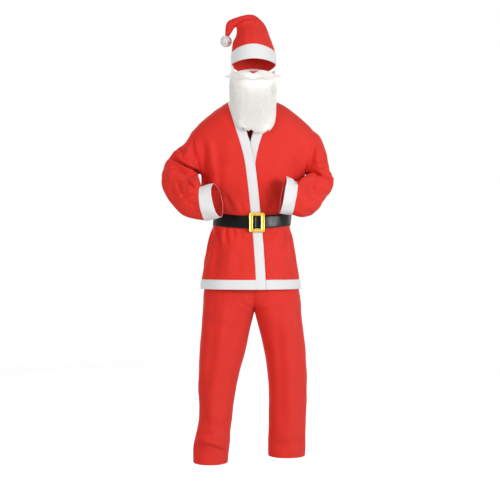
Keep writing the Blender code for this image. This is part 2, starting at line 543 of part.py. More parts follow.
# ---------------------------------------------------------------- trousers
def leg_curve(side, facing, z):
    """The front or back half of a leg's section, from the outer seam to the inner or middle seam."""
    leg = smooth(LEGS[side], z)
    middle = CROTCH_X * ease((CROTCH_TOP_Z - z) / (CROTCH_TOP_Z - CROTCH_Z))
    inner = middle if abs(z - CROTCH_Z) < 1e-6 else leg.inner
    centre, half = (leg.outer + inner) / 2, abs(leg.outer - inner) / 2
    end = math.pi
    if z > CROTCH_Z:
        ratio = max(-1.0, min(1.0, side * (middle - centre) / half))
        end = math.acos(math.copysign(abs(ratio) ** (1 / ROUNDNESS), ratio))
    turn = np.linspace(0, end, 121)
    cos, sin = np.cos(turn), np.sin(turn)
    x = centre + side * half * np.sign(cos) * np.abs(cos) ** ROUNDNESS
    y = leg.y + facing * (leg.front if facing == FORWARD else leg.back) * np.abs(sin) ** ROUNDNESS
    return np.stack([x, y, np.full_like(x, z)], axis=1)


def leg_half(side, facing):
    """The front or back half of one leg; above the crotch it meets the other leg's half in the middle."""
    foot, top = LEGS[side][0].z, LEGS[side][-1].z
    levels = [foot + (CROTCH_Z - foot) * (k / LEG_ROWS) ** FOOT_CROWDING for k in range(LEG_ROWS + 1)]
    levels += [CROTCH_Z + (top - CROTCH_Z) * (k / SPLIT_ROWS) ** SPLIT_CROWDING
               for k in range(1, SPLIT_ROWS + 1)]
    rows = []
    for z in levels:
        curve = leg_curve(side, facing, z)
        if z > CROTCH_Z:
            meeting_y = (curve[-1][1] + leg_curve(-side, facing, z)[-1][1]) / 2
            curve[:, 1] += (meeting_y - curve[-1][1]) * np.linspace(0, 1, len(curve)) ** 2
        rows.append(along(curve, np.linspace(0, distances(curve)[-1], TROUSER_COLUMNS + 1)))
    return np.array(rows)


def build_trousers(red):
    names, grids, signs = [], [], []
    for side, word in ((RIGHT, "right"), (LEFT, "left")):
        for facing, panel in ((FORWARD, "front"), (BACKWARD, "back")):
            names.append("trouser_{}_{}".format(panel, word))
            grids.append(leg_half(side, facing))
            signs.append(side * facing)
    normals = shared_normals(grids, signs)
    grids = [folded(grid, outward, TROUSER_FOLDS) for grid, outward in zip(grids, normals)]
    for name, grid, outward in zip(names, grids, shared_normals(grids, signs)):
        wall(name, grid, outward, FELT, red)


# ---------------------------------------------------------------- belt
def belt_row(row):
    """The belt's run at one height, from its start under the buckle round the body to its end."""
    left = body_row(LEFT, row, FORWARD, BELT_LIFT, beyond=BEYOND_MIDDLE)
    right = body_row(RIGHT, row, FORWARD, BELT_LIFT, beyond=BEYOND_MIDDLE)
    left = left[left[:, 0] >= BELT_START_X]
    right = right[right[:, 0] <= BELT_END_X]
    under = ease((right[:, 0] - BELT_START_X + BELT_STEP_START) / BELT_STEP_LENGTH)
    right[:, 1] -= (BELT_SKIN + BAR_SKIN + 2 * SEAM) * under
    quarters = (left, body_row(LEFT, row, BACKWARD)[::-1], body_row(RIGHT, row, BACKWARD), right[::-1])
    run = [along(curve, np.linspace(0, distances(curve)[-1], BELT_COLUMNS + 1)) for curve in quarters]
    return np.concatenate([run[0]] + [points[1:] for points in run[1:]])


def box(name, size, place, parent, collection):
    """A box whose middle is at `place` from its parent."""
    bpy.ops.mesh.primitive_cube_add(size=1.0)
    piece = bpy.context.object
    piece.name = name
    piece.data.transform(Matrix.Diagonal((*size, 1.0)))
    piece.parent = parent
    piece.location = place
    for home in list(piece.users_collection):
        home.objects.unlink(piece)
    collection.objects.link(piece)
    return piece


def boolean(piece, tool, operation):
    cut = piece.modifiers.new(tool.name, "BOOLEAN")
    cut.operation = operation
    cut.object = tool
    tool.hide_render = True
    tool.display_type = "WIRE"


def build_belt(vinyl, gold):
    strap = np.array([belt_row(BELT_BOTTOM_ROW), belt_row(BELT_TOP_ROW)])
    outward = shared_normals([strap], [1.0])[0]
    wall("belt_strap", strap, outward, BELT_SKIN, vinyl, FELT + BELT_GAP)

    suit = bpy.data.collections["santa_suit"]
    tools = bpy.data.collections["cutters"]
    nearest = np.abs(strap[0][:, 0] - BUCKLE_X) + np.where(strap[0][:, 1] < 0, 0, 1)
    belt_front = strap[0][int(np.argmin(nearest))][1]
    seat = belt_front - FELT - BELT_GAP - 2 * BELT_SKIN - BAR_SKIN - 3 * SEAM
    holder = bpy.data.objects.new("buckle_place", None)
    holder.location = (BUCKLE_X, seat, BUCKLE_Z)
    holder.rotation_euler = (0, 0, BUCKLE_TURN)
    suit.objects.link(holder)
    middle = -BUCKLE_SKIN / 2
    frame = box("belt_buckle", (BUCKLE_WIDTH, BUCKLE_SKIN, BUCKLE_HEIGHT), (0, middle, 0), holder, suit)
    frame.data.materials.append(gold)
    hole = box("buckle_hole", (BUCKLE_HOLE_WIDTH, 3 * BUCKLE_SKIN, BUCKLE_HOLE_HEIGHT), (0, middle, 0),
               holder, tools)
    boolean(frame, hole, "DIFFERENCE")
    bevel = frame.modifiers.new("rounded", "BEVEL")
    bevel.width = BUCKLE_BEVEL
    bevel.segments = 2
    bevel.limit_method = "ANGLE"
    drop = BELT_SKIN + BAR_SKIN + 2 * SEAM
    staple = box("buckle_staple", (BAR_WIDTH, drop + BAR_FOOT, BUCKLE_HOLE_HEIGHT + 2 * BAR_FOOT),
                 (BAR_X, (drop - BAR_FOOT) / 2, 0), holder, tools)
    room = box("buckle_room",
               (2 * BAR_WIDTH, drop - BAR_SKIN + 2 * BAR_FOOT, BUCKLE_HOLE_HEIGHT + BAR_ROOM),
               (BAR_X, (drop - BAR_SKIN) / 2 - BAR_FOOT, 0), holder, tools)
    boolean(staple, room, "DIFFERENCE")
    boolean(frame, staple, "UNION")


# ---------------------------------------------------------------- hat
def hat_grid():
    rings = []
    table = [(step, *ring) for step, ring in enumerate(HAT_RINGS)]
    Step = namedtuple("Step", "step " + " ".join(Ring._fields))
    table = [Step(*row) for row in table]
    steps = np.concatenate((np.linspace(0, 1, HAT_BAND_STEPS + 1),
                            np.linspace(1, len(table) - 1, (len(table) - 2) * HAT_STEPS + 1)[1:]))
    for step in steps:
        ring = smooth(table, step)
        angles = np.linspace(0, 2 * math.pi, HAT_COLUMNS, endpoint=False)
        across, deep = np.cos(angles), np.sin(angles)
        x = (ring.left_x + ring.right_x) / 2 + across * (ring.left_x - ring.right_x) / 2
        z = (ring.left_z + ring.right_z) / 2 + across * (ring.left_z - ring.right_z) / 2
        z = z + np.where(deep < 0, ring.rise * deep**2, -ring.drop * deep**2)
        y = np.where(deep < 0, ring.front, ring.back) * deep
        rings.append(np.stack([x, y, z], axis=1))
    return np.array(rings)


def build_hat(red, white, fur):
    grid = hat_grid()
    grid = np.concatenate((grid, grid[:, :1]), axis=1)
    outward = shared_normals([grid], [1.0])[0]
    half = HAT_COLUMNS // 2
    wall("hat_back", grid[:, :half + 1], outward[:, :half + 1], FELT, red)
    wall("hat_front", grid[:, half:], outward[:, half:], FELT, red)
    band = slice(0, HAT_BAND_STEPS + 1)
    wall("hat_band", grid[band, :-1], outward[band, :-1], TRIM, white, FELT + SEAM, closed=True)

    bm = bmesh.new()
    bmesh.ops.create_icosphere(bm, subdivisions=2, radius=POMPOM_CORE)
    locks = bm.faces[:]
    bmesh.ops.inset_individual(bm, faces=locks, thickness=LOCK_PARTING)
    bmesh.ops.poke(bm, faces=locks, offset=POMPOM_RADIUS - POMPOM_CORE)
    bmesh.ops.translate(bm, verts=bm.verts, vec=POMPOM_CENTRE)
    add_object("hat_pompom", bm, fur)


# ---------------------------------------------------------------- beard
def finer(grid, times):
    """The grid with each cell divided, along straight lines."""
    for _ in range(2):
        stops = np.linspace(0, len(grid) - 1, (len(grid) - 1) * times + 1)
        low = np.minimum(stops.astype(int), len(grid) - 2)
        part = (stops - low).reshape((-1,) + (1,) * (grid.ndim - 1))
        grid = np.swapaxes(grid[low] * (1 - part) + grid[low + 1] * part, 0, 1)
    return grid


def room_behind(points, names):
    """How far each point can move back, along +Y, before it meets one of the named pieces."""
    room = np.full(len(points), np.inf)
    for name in names:
        mesh = bpy.data.objects[name].data
        tree = BVHTree.FromPolygons([v.co for v in mesh.vertices], [p.vertices for p in mesh.polygons])
        for i, point in enumerate(points):
            hit = tree.ray_cast(Vector(point) - Vector((0, CLEAR_AHEAD, 0)), Vector((0, 1, 0)))
            if hit[0] is not None:
                room[i] = min(room[i], hit[3] - CLEAR_AHEAD)
    return room


def beard_grid():
    """The beard's inner side and how thick it is: grooves part the locks, whose tips are its lower edge."""
    columns = np.linspace(-1, 1, 2 * BEARD_LOCKS + 1)
    points, skins, sinks = [], [], []
    for down in np.linspace(1, 0, BEARD_ROWS + 1):
        row, skin = [], []
        for j, turn in enumerate(columns):
            brim = smooth(BEARD_OUTLINE, turn)
            groove = j % 2 == 0
            z = brim.top + (brim.bottom - brim.top) * down + (LOCK_TIP * down**4 if groove else 0.0)
            fur = smooth(BEARD, z)
            angle = turn * math.pi / 2
            y = fur.side_y + (fur.front - fur.side_y) * abs(math.cos(angle)) ** 0.9
            row.append((fur.middle + fur.half_width * math.sin(angle), y, z))
            skin.append(fur.skin - (LOCK_DEPTH if groove else 0.0))
        points.append(row)
        skins.append(skin)
        sinks.append([ease(down)] * len(columns))
    return np.array(points), np.array(skins), np.array(sinks)


def build_beard(fur, white):
    points, skins, sinks = beard_grid()
    chest = ("front_band_right", "front_band_left", "jacket_front_right", "jacket_front_left")
    share = np.maximum(np.tile(finer(sinks[..., None], 4).ravel(), 2), 1e-6)
    for _ in range(2):
        outer = points + shared_normals([points], [1.0])[0] * skins[..., None]
        room = room_behind(np.concatenate([finer(side, 4).reshape(-1, 3) for side in (points, outer)]), chest)
        points[..., 1] += sinks * float(((room - RESTING_GAP) / share)[np.isfinite(room)].min())
    outward = shared_normals([points], [1.0])[0]
    wall("beard", points, outward, skins, fur)

    stations = np.linspace(MOUSTACHE[0].x, MOUSTACHE[-1].x, MOUSTACHE_STATIONS)
    turn = np.linspace(0, 2 * math.pi, MOUSTACHE_SIDES, endpoint=False)
    rings = np.array([[(x, lip.y - lip.half_depth * math.cos(a), lip.z + lip.half_height * math.sin(a))
                       for a in turn] for x in stations for lip in (smooth(MOUSTACHE, x),)])
    room = room_behind(finer(rings, 4).reshape(-1, 3), ("beard",))
    rings[..., 1] += room.min() - RESTING_GAP
    bm = bmesh.new()
    verts = [[bm.verts.new(p) for p in ring] for ring in rings]
    for first, second in zip(verts, verts[1:]):
        for k in range(MOUSTACHE_SIDES):
            n = (k + 1) % MOUSTACHE_SIDES
            bm.faces.new((first[k], first[n], second[n], second[k]))
    bm.faces.new(verts[0])
    bm.faces.new(verts[-1])
    add_object("moustache", bm, fur)

    turn = np.linspace(ELASTIC_START, math.pi - ELASTIC_START, ELASTIC_COLUMNS + 1)
    lower = np.stack([ELASTIC_HALF_WIDTH * np.cos(turn), ELASTIC_DEPTH * np.sin(turn),
                      ELASTIC_Z + ELASTIC_RISE * np.maximum(np.sin(turn), 0) ** 2], axis=1)
    band = np.array([lower, lower + (0, 0, ELASTIC_HEIGHT)])
    wall("beard_elastic", band, shared_normals([band], [1.0])[0], ELASTIC_SKIN, white)


def main():
    for old in list(bpy.data.objects):
        bpy.data.objects.remove(old)
    suit = bpy.data.collections.new("santa_suit")
    tools = bpy.data.collections.new("cutters")
    for collection in (suit, tools):
        bpy.context.scene.collection.children.link(collection)
    red = new_material("red_felt", RED, 0.9)
    white = new_material("white_felt", WHITE, 0.9)
    vinyl = new_material("black_vinyl", BLACK, 0.3)
    gold = new_material("gold_plastic", GOLD, 0.3, 0.6)
    fur = new_material("ivory_fur", IVORY, 0.95)
    build_jacket(red, white)
    build_trousers(red)
    build_belt(vinyl, gold)
    build_hat(red, white, fur)
    build_beard(fur, white)


main()
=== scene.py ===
"""Looks of the santa suit: felt, trims, belt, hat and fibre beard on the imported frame.

Metres, +Z up. The wearer faces -Y, so the wearer's left is at +X.
Each cloth piece is a fine shell on the same form as its solid, with creases, soft seams and rounded edges.
"""
import math
from collections import namedtuple

import bmesh
import bpy
import numpy as np
from mathutils import Matrix, Vector

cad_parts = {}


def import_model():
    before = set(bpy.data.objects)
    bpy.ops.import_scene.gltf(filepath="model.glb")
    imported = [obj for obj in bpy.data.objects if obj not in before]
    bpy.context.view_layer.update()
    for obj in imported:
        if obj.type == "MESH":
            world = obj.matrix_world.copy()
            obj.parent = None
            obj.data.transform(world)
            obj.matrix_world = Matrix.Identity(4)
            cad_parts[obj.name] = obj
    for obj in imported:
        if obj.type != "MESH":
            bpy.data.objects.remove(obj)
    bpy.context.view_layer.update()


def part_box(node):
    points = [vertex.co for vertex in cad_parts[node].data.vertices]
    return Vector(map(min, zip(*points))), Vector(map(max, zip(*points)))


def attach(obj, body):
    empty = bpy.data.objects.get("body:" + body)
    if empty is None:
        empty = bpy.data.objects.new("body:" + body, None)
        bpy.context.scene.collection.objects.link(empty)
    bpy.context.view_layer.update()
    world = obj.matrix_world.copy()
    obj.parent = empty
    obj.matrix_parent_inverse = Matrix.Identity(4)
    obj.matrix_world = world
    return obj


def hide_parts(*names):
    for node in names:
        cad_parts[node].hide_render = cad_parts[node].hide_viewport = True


def rows_of(kind, rows, whole=0):
    """Named rows from numbers in thousandths, so lengths in mm; the first `whole` numbers are as given."""
    return tuple(kind(*row[:whole], *(number / 1000 for number in row[whole:])) for row in rows)


# ---------------------------------------------------------------- sizes, most of them shared with the solids
# Cloth and gaps
FELT = 0.0016            # thickness of the red cloth
TRIM = 0.0016            # thickness of the white trims
SEAM = 0.0003            # gap between two pieces that are sewn together
SAME_TO, TINY = 1e5, 1e-12               # points that agree to 1/SAME_TO of a metre are the same one
FORWARD, BACKWARD = -1.0, 1.0
RIGHT, LEFT = -1.0, 1.0  # the wearer's sides, as signs of X

# Jacket: heights count rows, 0 at the hem, 9 at the underarm, 17 at the shoulder seam
UNDERARM_ROW, SHOULDER_ROW = 9.0, 17.0
YOKE_ROW = 13.0          # the back bends over to the shoulder seams above this row
BEYOND_MIDDLE = 0.5      # how far a front's sections run past the middle, as a share of their half
HEM_TRIM_ROW, BACK_NECK_ROW = 1.0, 16.0
BELT_BOTTOM_ROW, BELT_TOP_ROW = 4.0, 6.0
ROW_STEPS = 10           # rows of the cloth for each counted row
JACKET_ROWS = [k / ROW_STEPS for k in range(int(SHOULDER_ROW) * ROW_STEPS + 1)]
FRONT_TRIM_WIDTH = 0.037
TRIM_COLUMNS = 6
FRONT_COLUMNS = 52       # from the front trim to the side seam or armhole
SECTION_POINTS, EDGE_LEVELS, NAPE_POINTS = 161, 200, 31              # along the curves under the grids
BACK_NECK_COLUMNS = 12   # from the middle of the back neck to the shoulder
ROUNDNESS = 0.92         # below 1 the body's sections are squarer than an ellipse
OVERLAP_LIFT = 0.0062    # how far the right front is lifted to pass over the left one
LIFT_FADE_START, LIFT_FADE_LENGTH = 0.25, 0.65       # where the lift fades, as shares of the way to the side
YOKE_PULL = 1.5          # how fast the yoke's seams give way to its middle and ends, as a power
SIDE_SEAM_Y = 0.005

Side = namedtuple("Side", "row half_width z middle")
SIDE_SEAM = rows_of(Side, (
    (0, 198, -742, -9), (1, 194, -705, -10), (2, 180, -620, -10), (3, 165.5, -540, -9), (4, 151.5, -490, -6),
    (5, 147.5, -465.5, 0), (6, 151, -441, 0), (7, 178, -400, 0), (8, 200, -345, -2), (9, 207, -291, 0),
), whole=1)
Middle = namedtuple("Middle", "row y z")
FRONT_MIDDLE = rows_of(Middle, (
    (0, -150, -742), (1, -147, -705), (2, -138, -622), (3, -126, -548), (4, -117, -504), (5, -114, -480),
    (6, -117, -456), (7, -127, -410), (8, -132, -350), (9, -133, -295), (10, -132, -250), (11, -130, -206),
    (12, -127, -162), (13, -121, -118), (14, -110, -76), (15, -91, -38), (16, -56, -2), (17, 4, 28),
), whole=1)
BACK_MIDDLE = rows_of(Middle, (
    (0, 140, -742), (1, 137, -705), (2, 128, -622), (3, 116, -544), (4, 106, -496), (5, 104, -472),
    (6, 107, -448), (7, 117, -404), (8, 123, -348), (9, 126, -293), (10, 127, -250), (11, 127, -206),
    (12, 125, -162), (13, 121, -118), (14, 113, -80), (15, 101, -48), (16, 86, -20), (17, 67, 10),
), whole=1)
SIDE_FALL = 1.9          # how the rows drop from the middle to the side, as a power
Turn = namedtuple("Turn", "row degrees")
EDGE_TURN = (Turn(0, 90), Turn(8, 90), Turn(9, 86), Turn(11, 72), Turn(13, 52), Turn(15, 42), Turn(17, 40))

# Free edge of each front, from the neck to the hem
Edge = namedtuple("Edge", "z x")
RIGHT_FRONT_EDGE = rows_of(Edge, (
    (-745, 50), (-620, 43), (-520, 35.5), (-450, 29), (-320, 15.5), (-233, 3.6), (-170, -12), (-120, -27.6),
    (30, -70.5),
))
LEFT_FRONT_EDGE = rows_of(Edge, (
    (-745, -55), (-520, -40), (-450, -36), (-320, -34), (-233, -26), (-170, -12), (-120, 3.6), (30, 70.5),
))

# Armhole: a tilted ellipse from the underarm to the shoulder tip
ARMHOLE_X, ARMHOLE_LEAN, ARMHOLE_Z, ARMHOLE_HALF_HEIGHT = 0.2235, 0.0165, -0.202, 0.089
ARMHOLE_HALF_DEPTH = 0.089

# Sleeves: each ring runs between a point on the outer side of the arm and one on its inner side, in
# front view; `slant` turns its far side towards the body
Round = namedtuple("Round", "outer_x outer_z inner_x inner_z y half_depth slant")
RIGHT_SLEEVE = rows_of(Round, (
    (-265, -154, -209.5, -288, 0, 86, 0), (-295, -181, -211.5, -286.5, -4, 84, 20),
    (-330, -217, -213.5, -285, -12, 81, 50), (-349, -253, -215.5, -284, -26, 79, 80),
    (-358.5, -295, -217.5, -284.5, -46, 77, 100), (-354, -341, -218, -288, -66, 75, 120),
    (-337, -379, -217.5, -293, -86, 73, 140), (-312, -412, -216, -299, -106, 71, 160),
    (-276, -448, -213.5, -307, -125, 68, 180), (-230, -465.5, -210, -318, -141, 65, 180),
    (-186, -472.5, -202.5, -342.5, -156, 62, 180), (-157, -465, -177, -339, -167, 60, 240),
    (-127.5, -457.5, -151, -335.5, -177, 58, 300),
))
LEFT_SLEEVE = rows_of(Round, (
    (264, -132, 210, -288, 0, 86, 0), (279, -163, 212, -286.5, -4, 84, 20),
    (289, -202, 213.5, -286, -12, 82, 50), (295, -243, 214, -286, -26, 80, 80),
    (301, -282, 213, -287, -46, 78, 100), (315, -325, 211, -291, -66, 76, 120),
    (298, -362, 207, -297, -87, 74, 130), (269, -399, 201, -303, -108, 72, 130),
    (244, -439, 193.5, -309, -128, 70, 130), (204, -457, 183, -315, -146, 66, 120),
    (147, -450.5, 169, -325, -164, 61, 110), (123.5, -449, 147.5, -317, -174, 59, 90),
    (102, -446.5, 126, -309, -183, 57, 70),
))
CUFF_RINGS = 2

# Largest folds of the cloth: ridges, or troughs where the depth is below 0
Fold = namedtuple("Fold", "x0 y0 z0 x1 y1 z1 half_width depth")
JACKET_FOLDS = rows_of(Fold, (
    (-190, -75, -180, -165, -90, -400, 22, -7), (-160, -100, -200, -128, -105, -400, 22, 5),
    (185, -75, -200, 160, -90, -380, 22, -6), (-150, -100, -690, -125, -110, -560, 28, -6),
    (110, -120, -690, 90, -110, -560, 28, -5), (-110, 110, -180, -60, 115, -400, 30, -7),
    (100, 115, -180, 70, 115, -400, 30, -6), (-80, 130, -700, -60, 120, -560, 30, -7),
    (95, 125, -700, 70, 115, -560, 30, -6), (-350, -80, -225, -235, -120, -290, 16, -9),
    (-315, -100, -200, -245, -110, -245, 20, 5), (305, -120, -300, 210, -130, -290, 16, -9),
    (285, -110, -250, 225, -110, -255, 20, 4),
))
TROUSER_FOLDS = rows_of(Fold, (
    (-225, -60, -1375, -110, -80, -1395, 22, -9), (-225, -60, -1325, -100, -80, -1340, 24, 6),
    (205, -60, -1345, 80, -80, -1365, 22, -6), (-225, 70, -1350, -110, 95, -1370, 24, -8),
    (205, 70, -1320, 80, 95, -1340, 24, -7), (-185, -75, -860, -50, -110, -900, 26, -5),
    (180, -75, -860, 50, -110, -900, 26, -5), (-130, 110, -870, -20, 90, -840, 26, -6),
    (130, 110, -870, 25, 90, -840, 26, -6),
))

# Trousers: the outer and the inner edge of each leg; above the crotch the inner one is past the middle
CROTCH_Z = -0.832
Leg = namedtuple("Leg", "z outer inner front back y")
RIGHT_LEG = rows_of(Leg, (
    (-1436, -239, -101, 88, 92, 12), (-1368, -237, -95, 90, 94, 8), (-1268, -216, -86, 92, 94, 6),
    (-1128, -217, -68, 97, 98, 4), (-972, -210, -28, 108, 106, 3), (-852, -200, -1, 116, 116, 3),
    (-832, -199, 6, 117, 118, 3), (-800, -197, 36, 119, 120, 3), (-748, -193, 95, 120, 119, 3),
    (-700, -183, 138, 119, 116, 3), (-620, -166, 152, 116, 110, 3), (-540, -151, 142, 111, 103, 3),
    (-500, -146.5, 142, 110.5, 99, 3), (-462, -143.8, 143.8, 112, 98, 3),
))
LEFT_LEG = rows_of(Leg, (
    (-1408, 208, 61, 90, 92, 12), (-1330, 209, 62, 92, 94, 8), (-1268, 210, 64, 93, 94, 6),
    (-1128, 213, 65, 98, 98, 4), (-972, 207, 43, 108, 106, 3), (-852, 193, 12, 116, 116, 3),
    (-832, 191, 6, 117, 118, 3), (-800, 189, -26, 119, 120, 3), (-748, 182, -85, 120, 119, 3),
    (-700, 170, -128, 119, 116, 3), (-620, 153, -144, 116, 110, 3), (-540, 142, -136, 111, 103, 3),
    (-500, 140.5, -140, 110.5, 99, 3), (-462, 143.8, -143.8, 112, 98, 3),
))
LEGS = {RIGHT: RIGHT_LEG, LEFT: LEFT_LEG}
CROTCH_X, CROTCH_TOP_Z = 0.006, -0.6     # the middle seam leans to the crotch below this height
SPLIT_ROWS, LEG_ROWS = 50, 130
SPLIT_CROWDING, FOOT_CROWDING = 1.6, 1.25
TROUSER_COLUMNS, LEG_SECTION_POINTS = 46, 121

# Belt: its right part ends over its left one, in the buckle
BELT_SKIN = 0.002
BELT_GAP = 0.0008
BELT_LIFT = OVERLAP_LIFT + TRIM + SEAM
BELT_END_X, BELT_START_X = 0.013, -0.036
BELT_STEP_START, BELT_STEP_LENGTH = 0.040, 0.034     # where its end rises over its start
BELT_COLUMNS, BELT_ROWS = 40, 10                     # columns for each quarter of its way round
BELT_SAG, BELT_SAG_SIZE = 0.0006, 0.045
BELT_EDGE, BELT_MIDDLE, BELT_ROLL = 0.8, 0.35, 0.4   # its thickness at its edges and in its middle, as shares
BUCKLE_X, BUCKLE_Z, BUCKLE_TURN = 0.0143, -0.4805, math.radians(5.0)
BUCKLE_WIDTH, BUCKLE_HEIGHT, BUCKLE_SKIN, BUCKLE_CORNER = 0.060, 0.076, 0.0045, 0.006
BUCKLE_HOLE_WIDTH, BUCKLE_HOLE_HEIGHT, HOLE_CORNER = 0.0315, 0.0515, 0.002
BAR_WIDTH, BAR_SKIN, BAR_X, BAR_CORNER, BAR_BEHIND = 0.005, 0.0018, -0.009, 0.001, 0.008
CORNER_STEPS = 6
# The buckle's section from its outer to its inner edge, as shares of the rim's width and of its thickness
Moulding = namedtuple("Moulding", "across height")
BUCKLE_PROFILE = tuple(Moulding(*step) for step in (
    (0.00, 0.00), (0.00, 0.70), (0.03, 0.90), (0.09, 1.00), (0.17, 0.96),
    (0.24, 0.78), (0.30, 0.74), (0.70, 0.74), (0.76, 0.78), (0.83, 0.94),
    (0.91, 0.96), (0.97, 0.84), (1.00, 0.60), (1.00, 0.00),
))

# Hat: each ring runs between a point on the right side of the head and one on the left side
Ring = namedtuple("Ring", "right_x right_z left_x left_z front back rise drop")
HAT_RINGS = rows_of(Ring, (
    (-84, 150, 89, 151, 105, 108, 12, 24), (-85, 196, 87.5, 197, 104, 107, 23, 18),
    (-80, 238, 74.5, 238, 92, 94, 14, 10), (-67, 266, 65.5, 264, 79, 80, 6, 4),
    (-65, 288, 56, 292, 66, 68, 0, 0), (-65, 296.5, 40, 320.5, 55, 56, 0, 0),
    (-66.5, 302.5, 7, 347, 43, 44, 0, 0), (-70, 305, -30, 350, 35, 36, 0, 0),
    (-74.5, 301.5, -70, 338.5, 29, 29, 0, 0), (-80, 293.5, -99, 325.5, 23, 23, 0, 0),
    (-87.5, 282, -108.5, 300, 17, 17, 0, 0), (-96.5, 268, -110.5, 270, 10, 10, 0, 0),
))
HAT_COLUMNS = 96
HAT_BAND_STEPS, HAT_STEPS = 10, 10
HAT_SAG, HAT_SAG_SIZE = 0.0008, 0.04
POMPOM_CENTRE, POMPOM_RADIUS = (-0.108, 0.0, 0.2465), 0.0225
# As shares of the radius: the ball under the fibres, their roots and their shortest and longest reach
POMPOM_BALL, POMPOM_ROOT, POMPOM_SHORT, POMPOM_LONG = 0.95, 0.93, 0.98, 1.05
POMPOM_SWEEP, POMPOM_POINTS, POMPOM_SEED = 0.30, 4, 11               # how far the fibres lie over
POMPOM_WIDTHS = np.array((0.0005, 0.0005, 0.0004, 0.0001))

# Beard: hangs from the ears, over the chin, to the chest; sizes are of its inner side
Fur = namedtuple("Fur", "z middle half_width front side_y skin")
BEARD = rows_of(Fur, (
    (-135, 10, 47, -136, -122, 10), (-100, 8, 60, -136, -110, 15), (-60, 6, 65, -132, -92, 19),
    (0, 0, 73, -126, -62, 19), (60, 0, 78, -118, -36, 17), (110, 0, 80.5, -106, -20, 10),
    (150, 0, 80.5, -98, -16, 8),
))
BEARD_SEAT, MOUSTACHE_SEAT = -0.01522, 0.01332       # how far they're moved to lie on the chest and the beard
JAW_ROUNDNESS, FALL_LEAN, FALL_RISE = 0.9, 0.05, 0.10                # how the skin stands off the jaw
FIBRE_START, MASS_SHARE = 0.7, 0.88      # where the fibres start and the mass ends, as shares of the skin
BEARD_ROWS, LIP_STATIONS, LIP_SIDES, BEARD_SEED = 71, 73, 20, 5
# Fibres: across in shares of half the beard's width, down in shares of its height
FIBRES_DOWN = 0.8        # below 1, more of them start far down
FIBRE_SWAY, FIBRE_LIFT, FIBRE_LENGTH = 0.012, (0.88, 1.0), (0.16, 0.34)
LOCK_SWAY, LOCKS, LOCK_SLANT = 0.010, 23, 5          # neighbours sway together
CURL_SWAY, CURL = 0.004, 4
RAGGED, RAGGED_RANGE, BRIM_LIMIT = 1.03, (-0.04, 0.02), 1.03
RAGGED_WAVES = ((0.014, 17, 1.3), (0.010, 41, 0.0))  # height, number and place of each
# Moustache fibres: from the middle outwards, in metres along x
LIP_START, LIP_LENGTH, LIP_END = (0.0, 0.085), (0.022, 0.045), 0.110
LIP_LIFT, LIP_TWIST, LIP_FIBRE_WIDTH = (0.92, 1.10), 0.12, 0.8       # width as a share of the beard's
Brim = namedtuple("Brim", "turn top bottom")
BEARD_OUTLINE = rows_of(Brim, (
    (-1.0, 146.5, -64), (-0.85, 140, -92), (-0.7, 118, -104), (-0.5, 99, -111), (-0.2, 76, -118),
    (0.0, 70, -123), (0.2, 76, -127), (0.5, 98, -120), (0.85, 110, -104), (1.0, 124, -88),
), whole=1)
Lip = namedtuple("Lip", "x z half_height half_depth y")
MOUSTACHE = rows_of(Lip, (
    (-108, 96, 1.5, 1.5, -98), (-88, 93, 8, 6, -112), (-60, 94, 15, 10, -132), (-30, 96, 16, 12, -142),
    (0, 92, 9, 10, -146), (30, 96, 16, 12, -142), (60, 94, 15, 10, -132), (88, 93, 8, 6, -112),
    (108, 96, 1.5, 1.5, -98),
))
ELASTIC_HALF_WIDTH, ELASTIC_DEPTH, ELASTIC_HEIGHT, ELASTIC_SKIN = 0.0803, 0.1050, 0.008, 0.001
ELASTIC_Z, ELASTIC_RISE, ELASTIC_START, ELASTIC_COLUMNS, ELASTIC_ROWS = 0.116, 0.027, -0.25, 96, 6
BEARD_FIBRES, MOUSTACHE_FIBRES, POMPOM_FIBRES, FIBRE_POINTS = 6400, 2200, 3200, 5
FIBRE_WIDTHS = np.array((0.0006, 0.0008, 0.0007, 0.0005, 0.0001))


# ---------------------------------------------------------------- looks
SLEEVE_STEPS = 11        # rows of a sleeve for each of its solid's rows
# Slow unevenness of hung cloth: products of two waves, each with a height, how fast both turn along x, y
# and z and where they start; then its height on each garment, and the size of its waves there
Wave = namedtuple("Wave", "x y z start")
SAG_WAVES = (
    (1.0, Wave(2.3, 0.0, 1.1, 0.4), Wave(0.0, -0.8, 1.7, 1.3)),
    (0.6, Wave(2.2, 0.0, 3.9, 2.0), Wave(1.9, 3.1, 0.0, 0.7)),
)
JACKET_SAG, JACKET_SAG_SIZE = 0.0010, 0.04
SLEEVE_SAG, SLEEVE_SAG_LENGTH = 0.0014, 0.25         # what sleeves have more, growing over this share of them
TROUSER_SAG, TROUSER_SAG_SIZE = 0.0009, 0.06
SEAM_DIP, SEAM_DIP_WIDTH = 0.0011, 0.0035
RIM_ROUNDING = 0.42      # how far a wall's rim stands out, as a share of its thickness
PLUMP_EDGE, PLUMP_MIDDLE, PLUMP_POWER = 0.75, 0.6, 0.5               # a trim's edges, and its middle's more
ASKEW = np.array((0.31, 0.87, 0.38))     # a direction that no fibre has
PURE_WHITE = (1.0, 1.0, 1.0)
Felt = namedtuple("Felt", "colour deep sheen tint")
RED_FELT = Felt((0.76, 0.036, 0.025), (0.63, 0.022, 0.016), 0.12, (1.0, 0.30, 0.25))
WHITE_FELT = Felt((0.775, 0.775, 0.785), (0.73, 0.73, 0.75), 0.10, PURE_WHITE)
IVORY, DEEP_IVORY = (0.97, 0.955, 0.925), (0.93, 0.91, 0.875)
BLACK, BLACK_DARK, BLACK_PALE = (0.006, 0.005, 0.005), (0.003, 0.0025, 0.0025), (0.007, 0.006, 0.006)
GOLD, GOLD_PALE, GOLD_DEEP = (0.78, 0.50, 0.07), (0.82, 0.55, 0.09), (0.66, 0.40, 0.045)
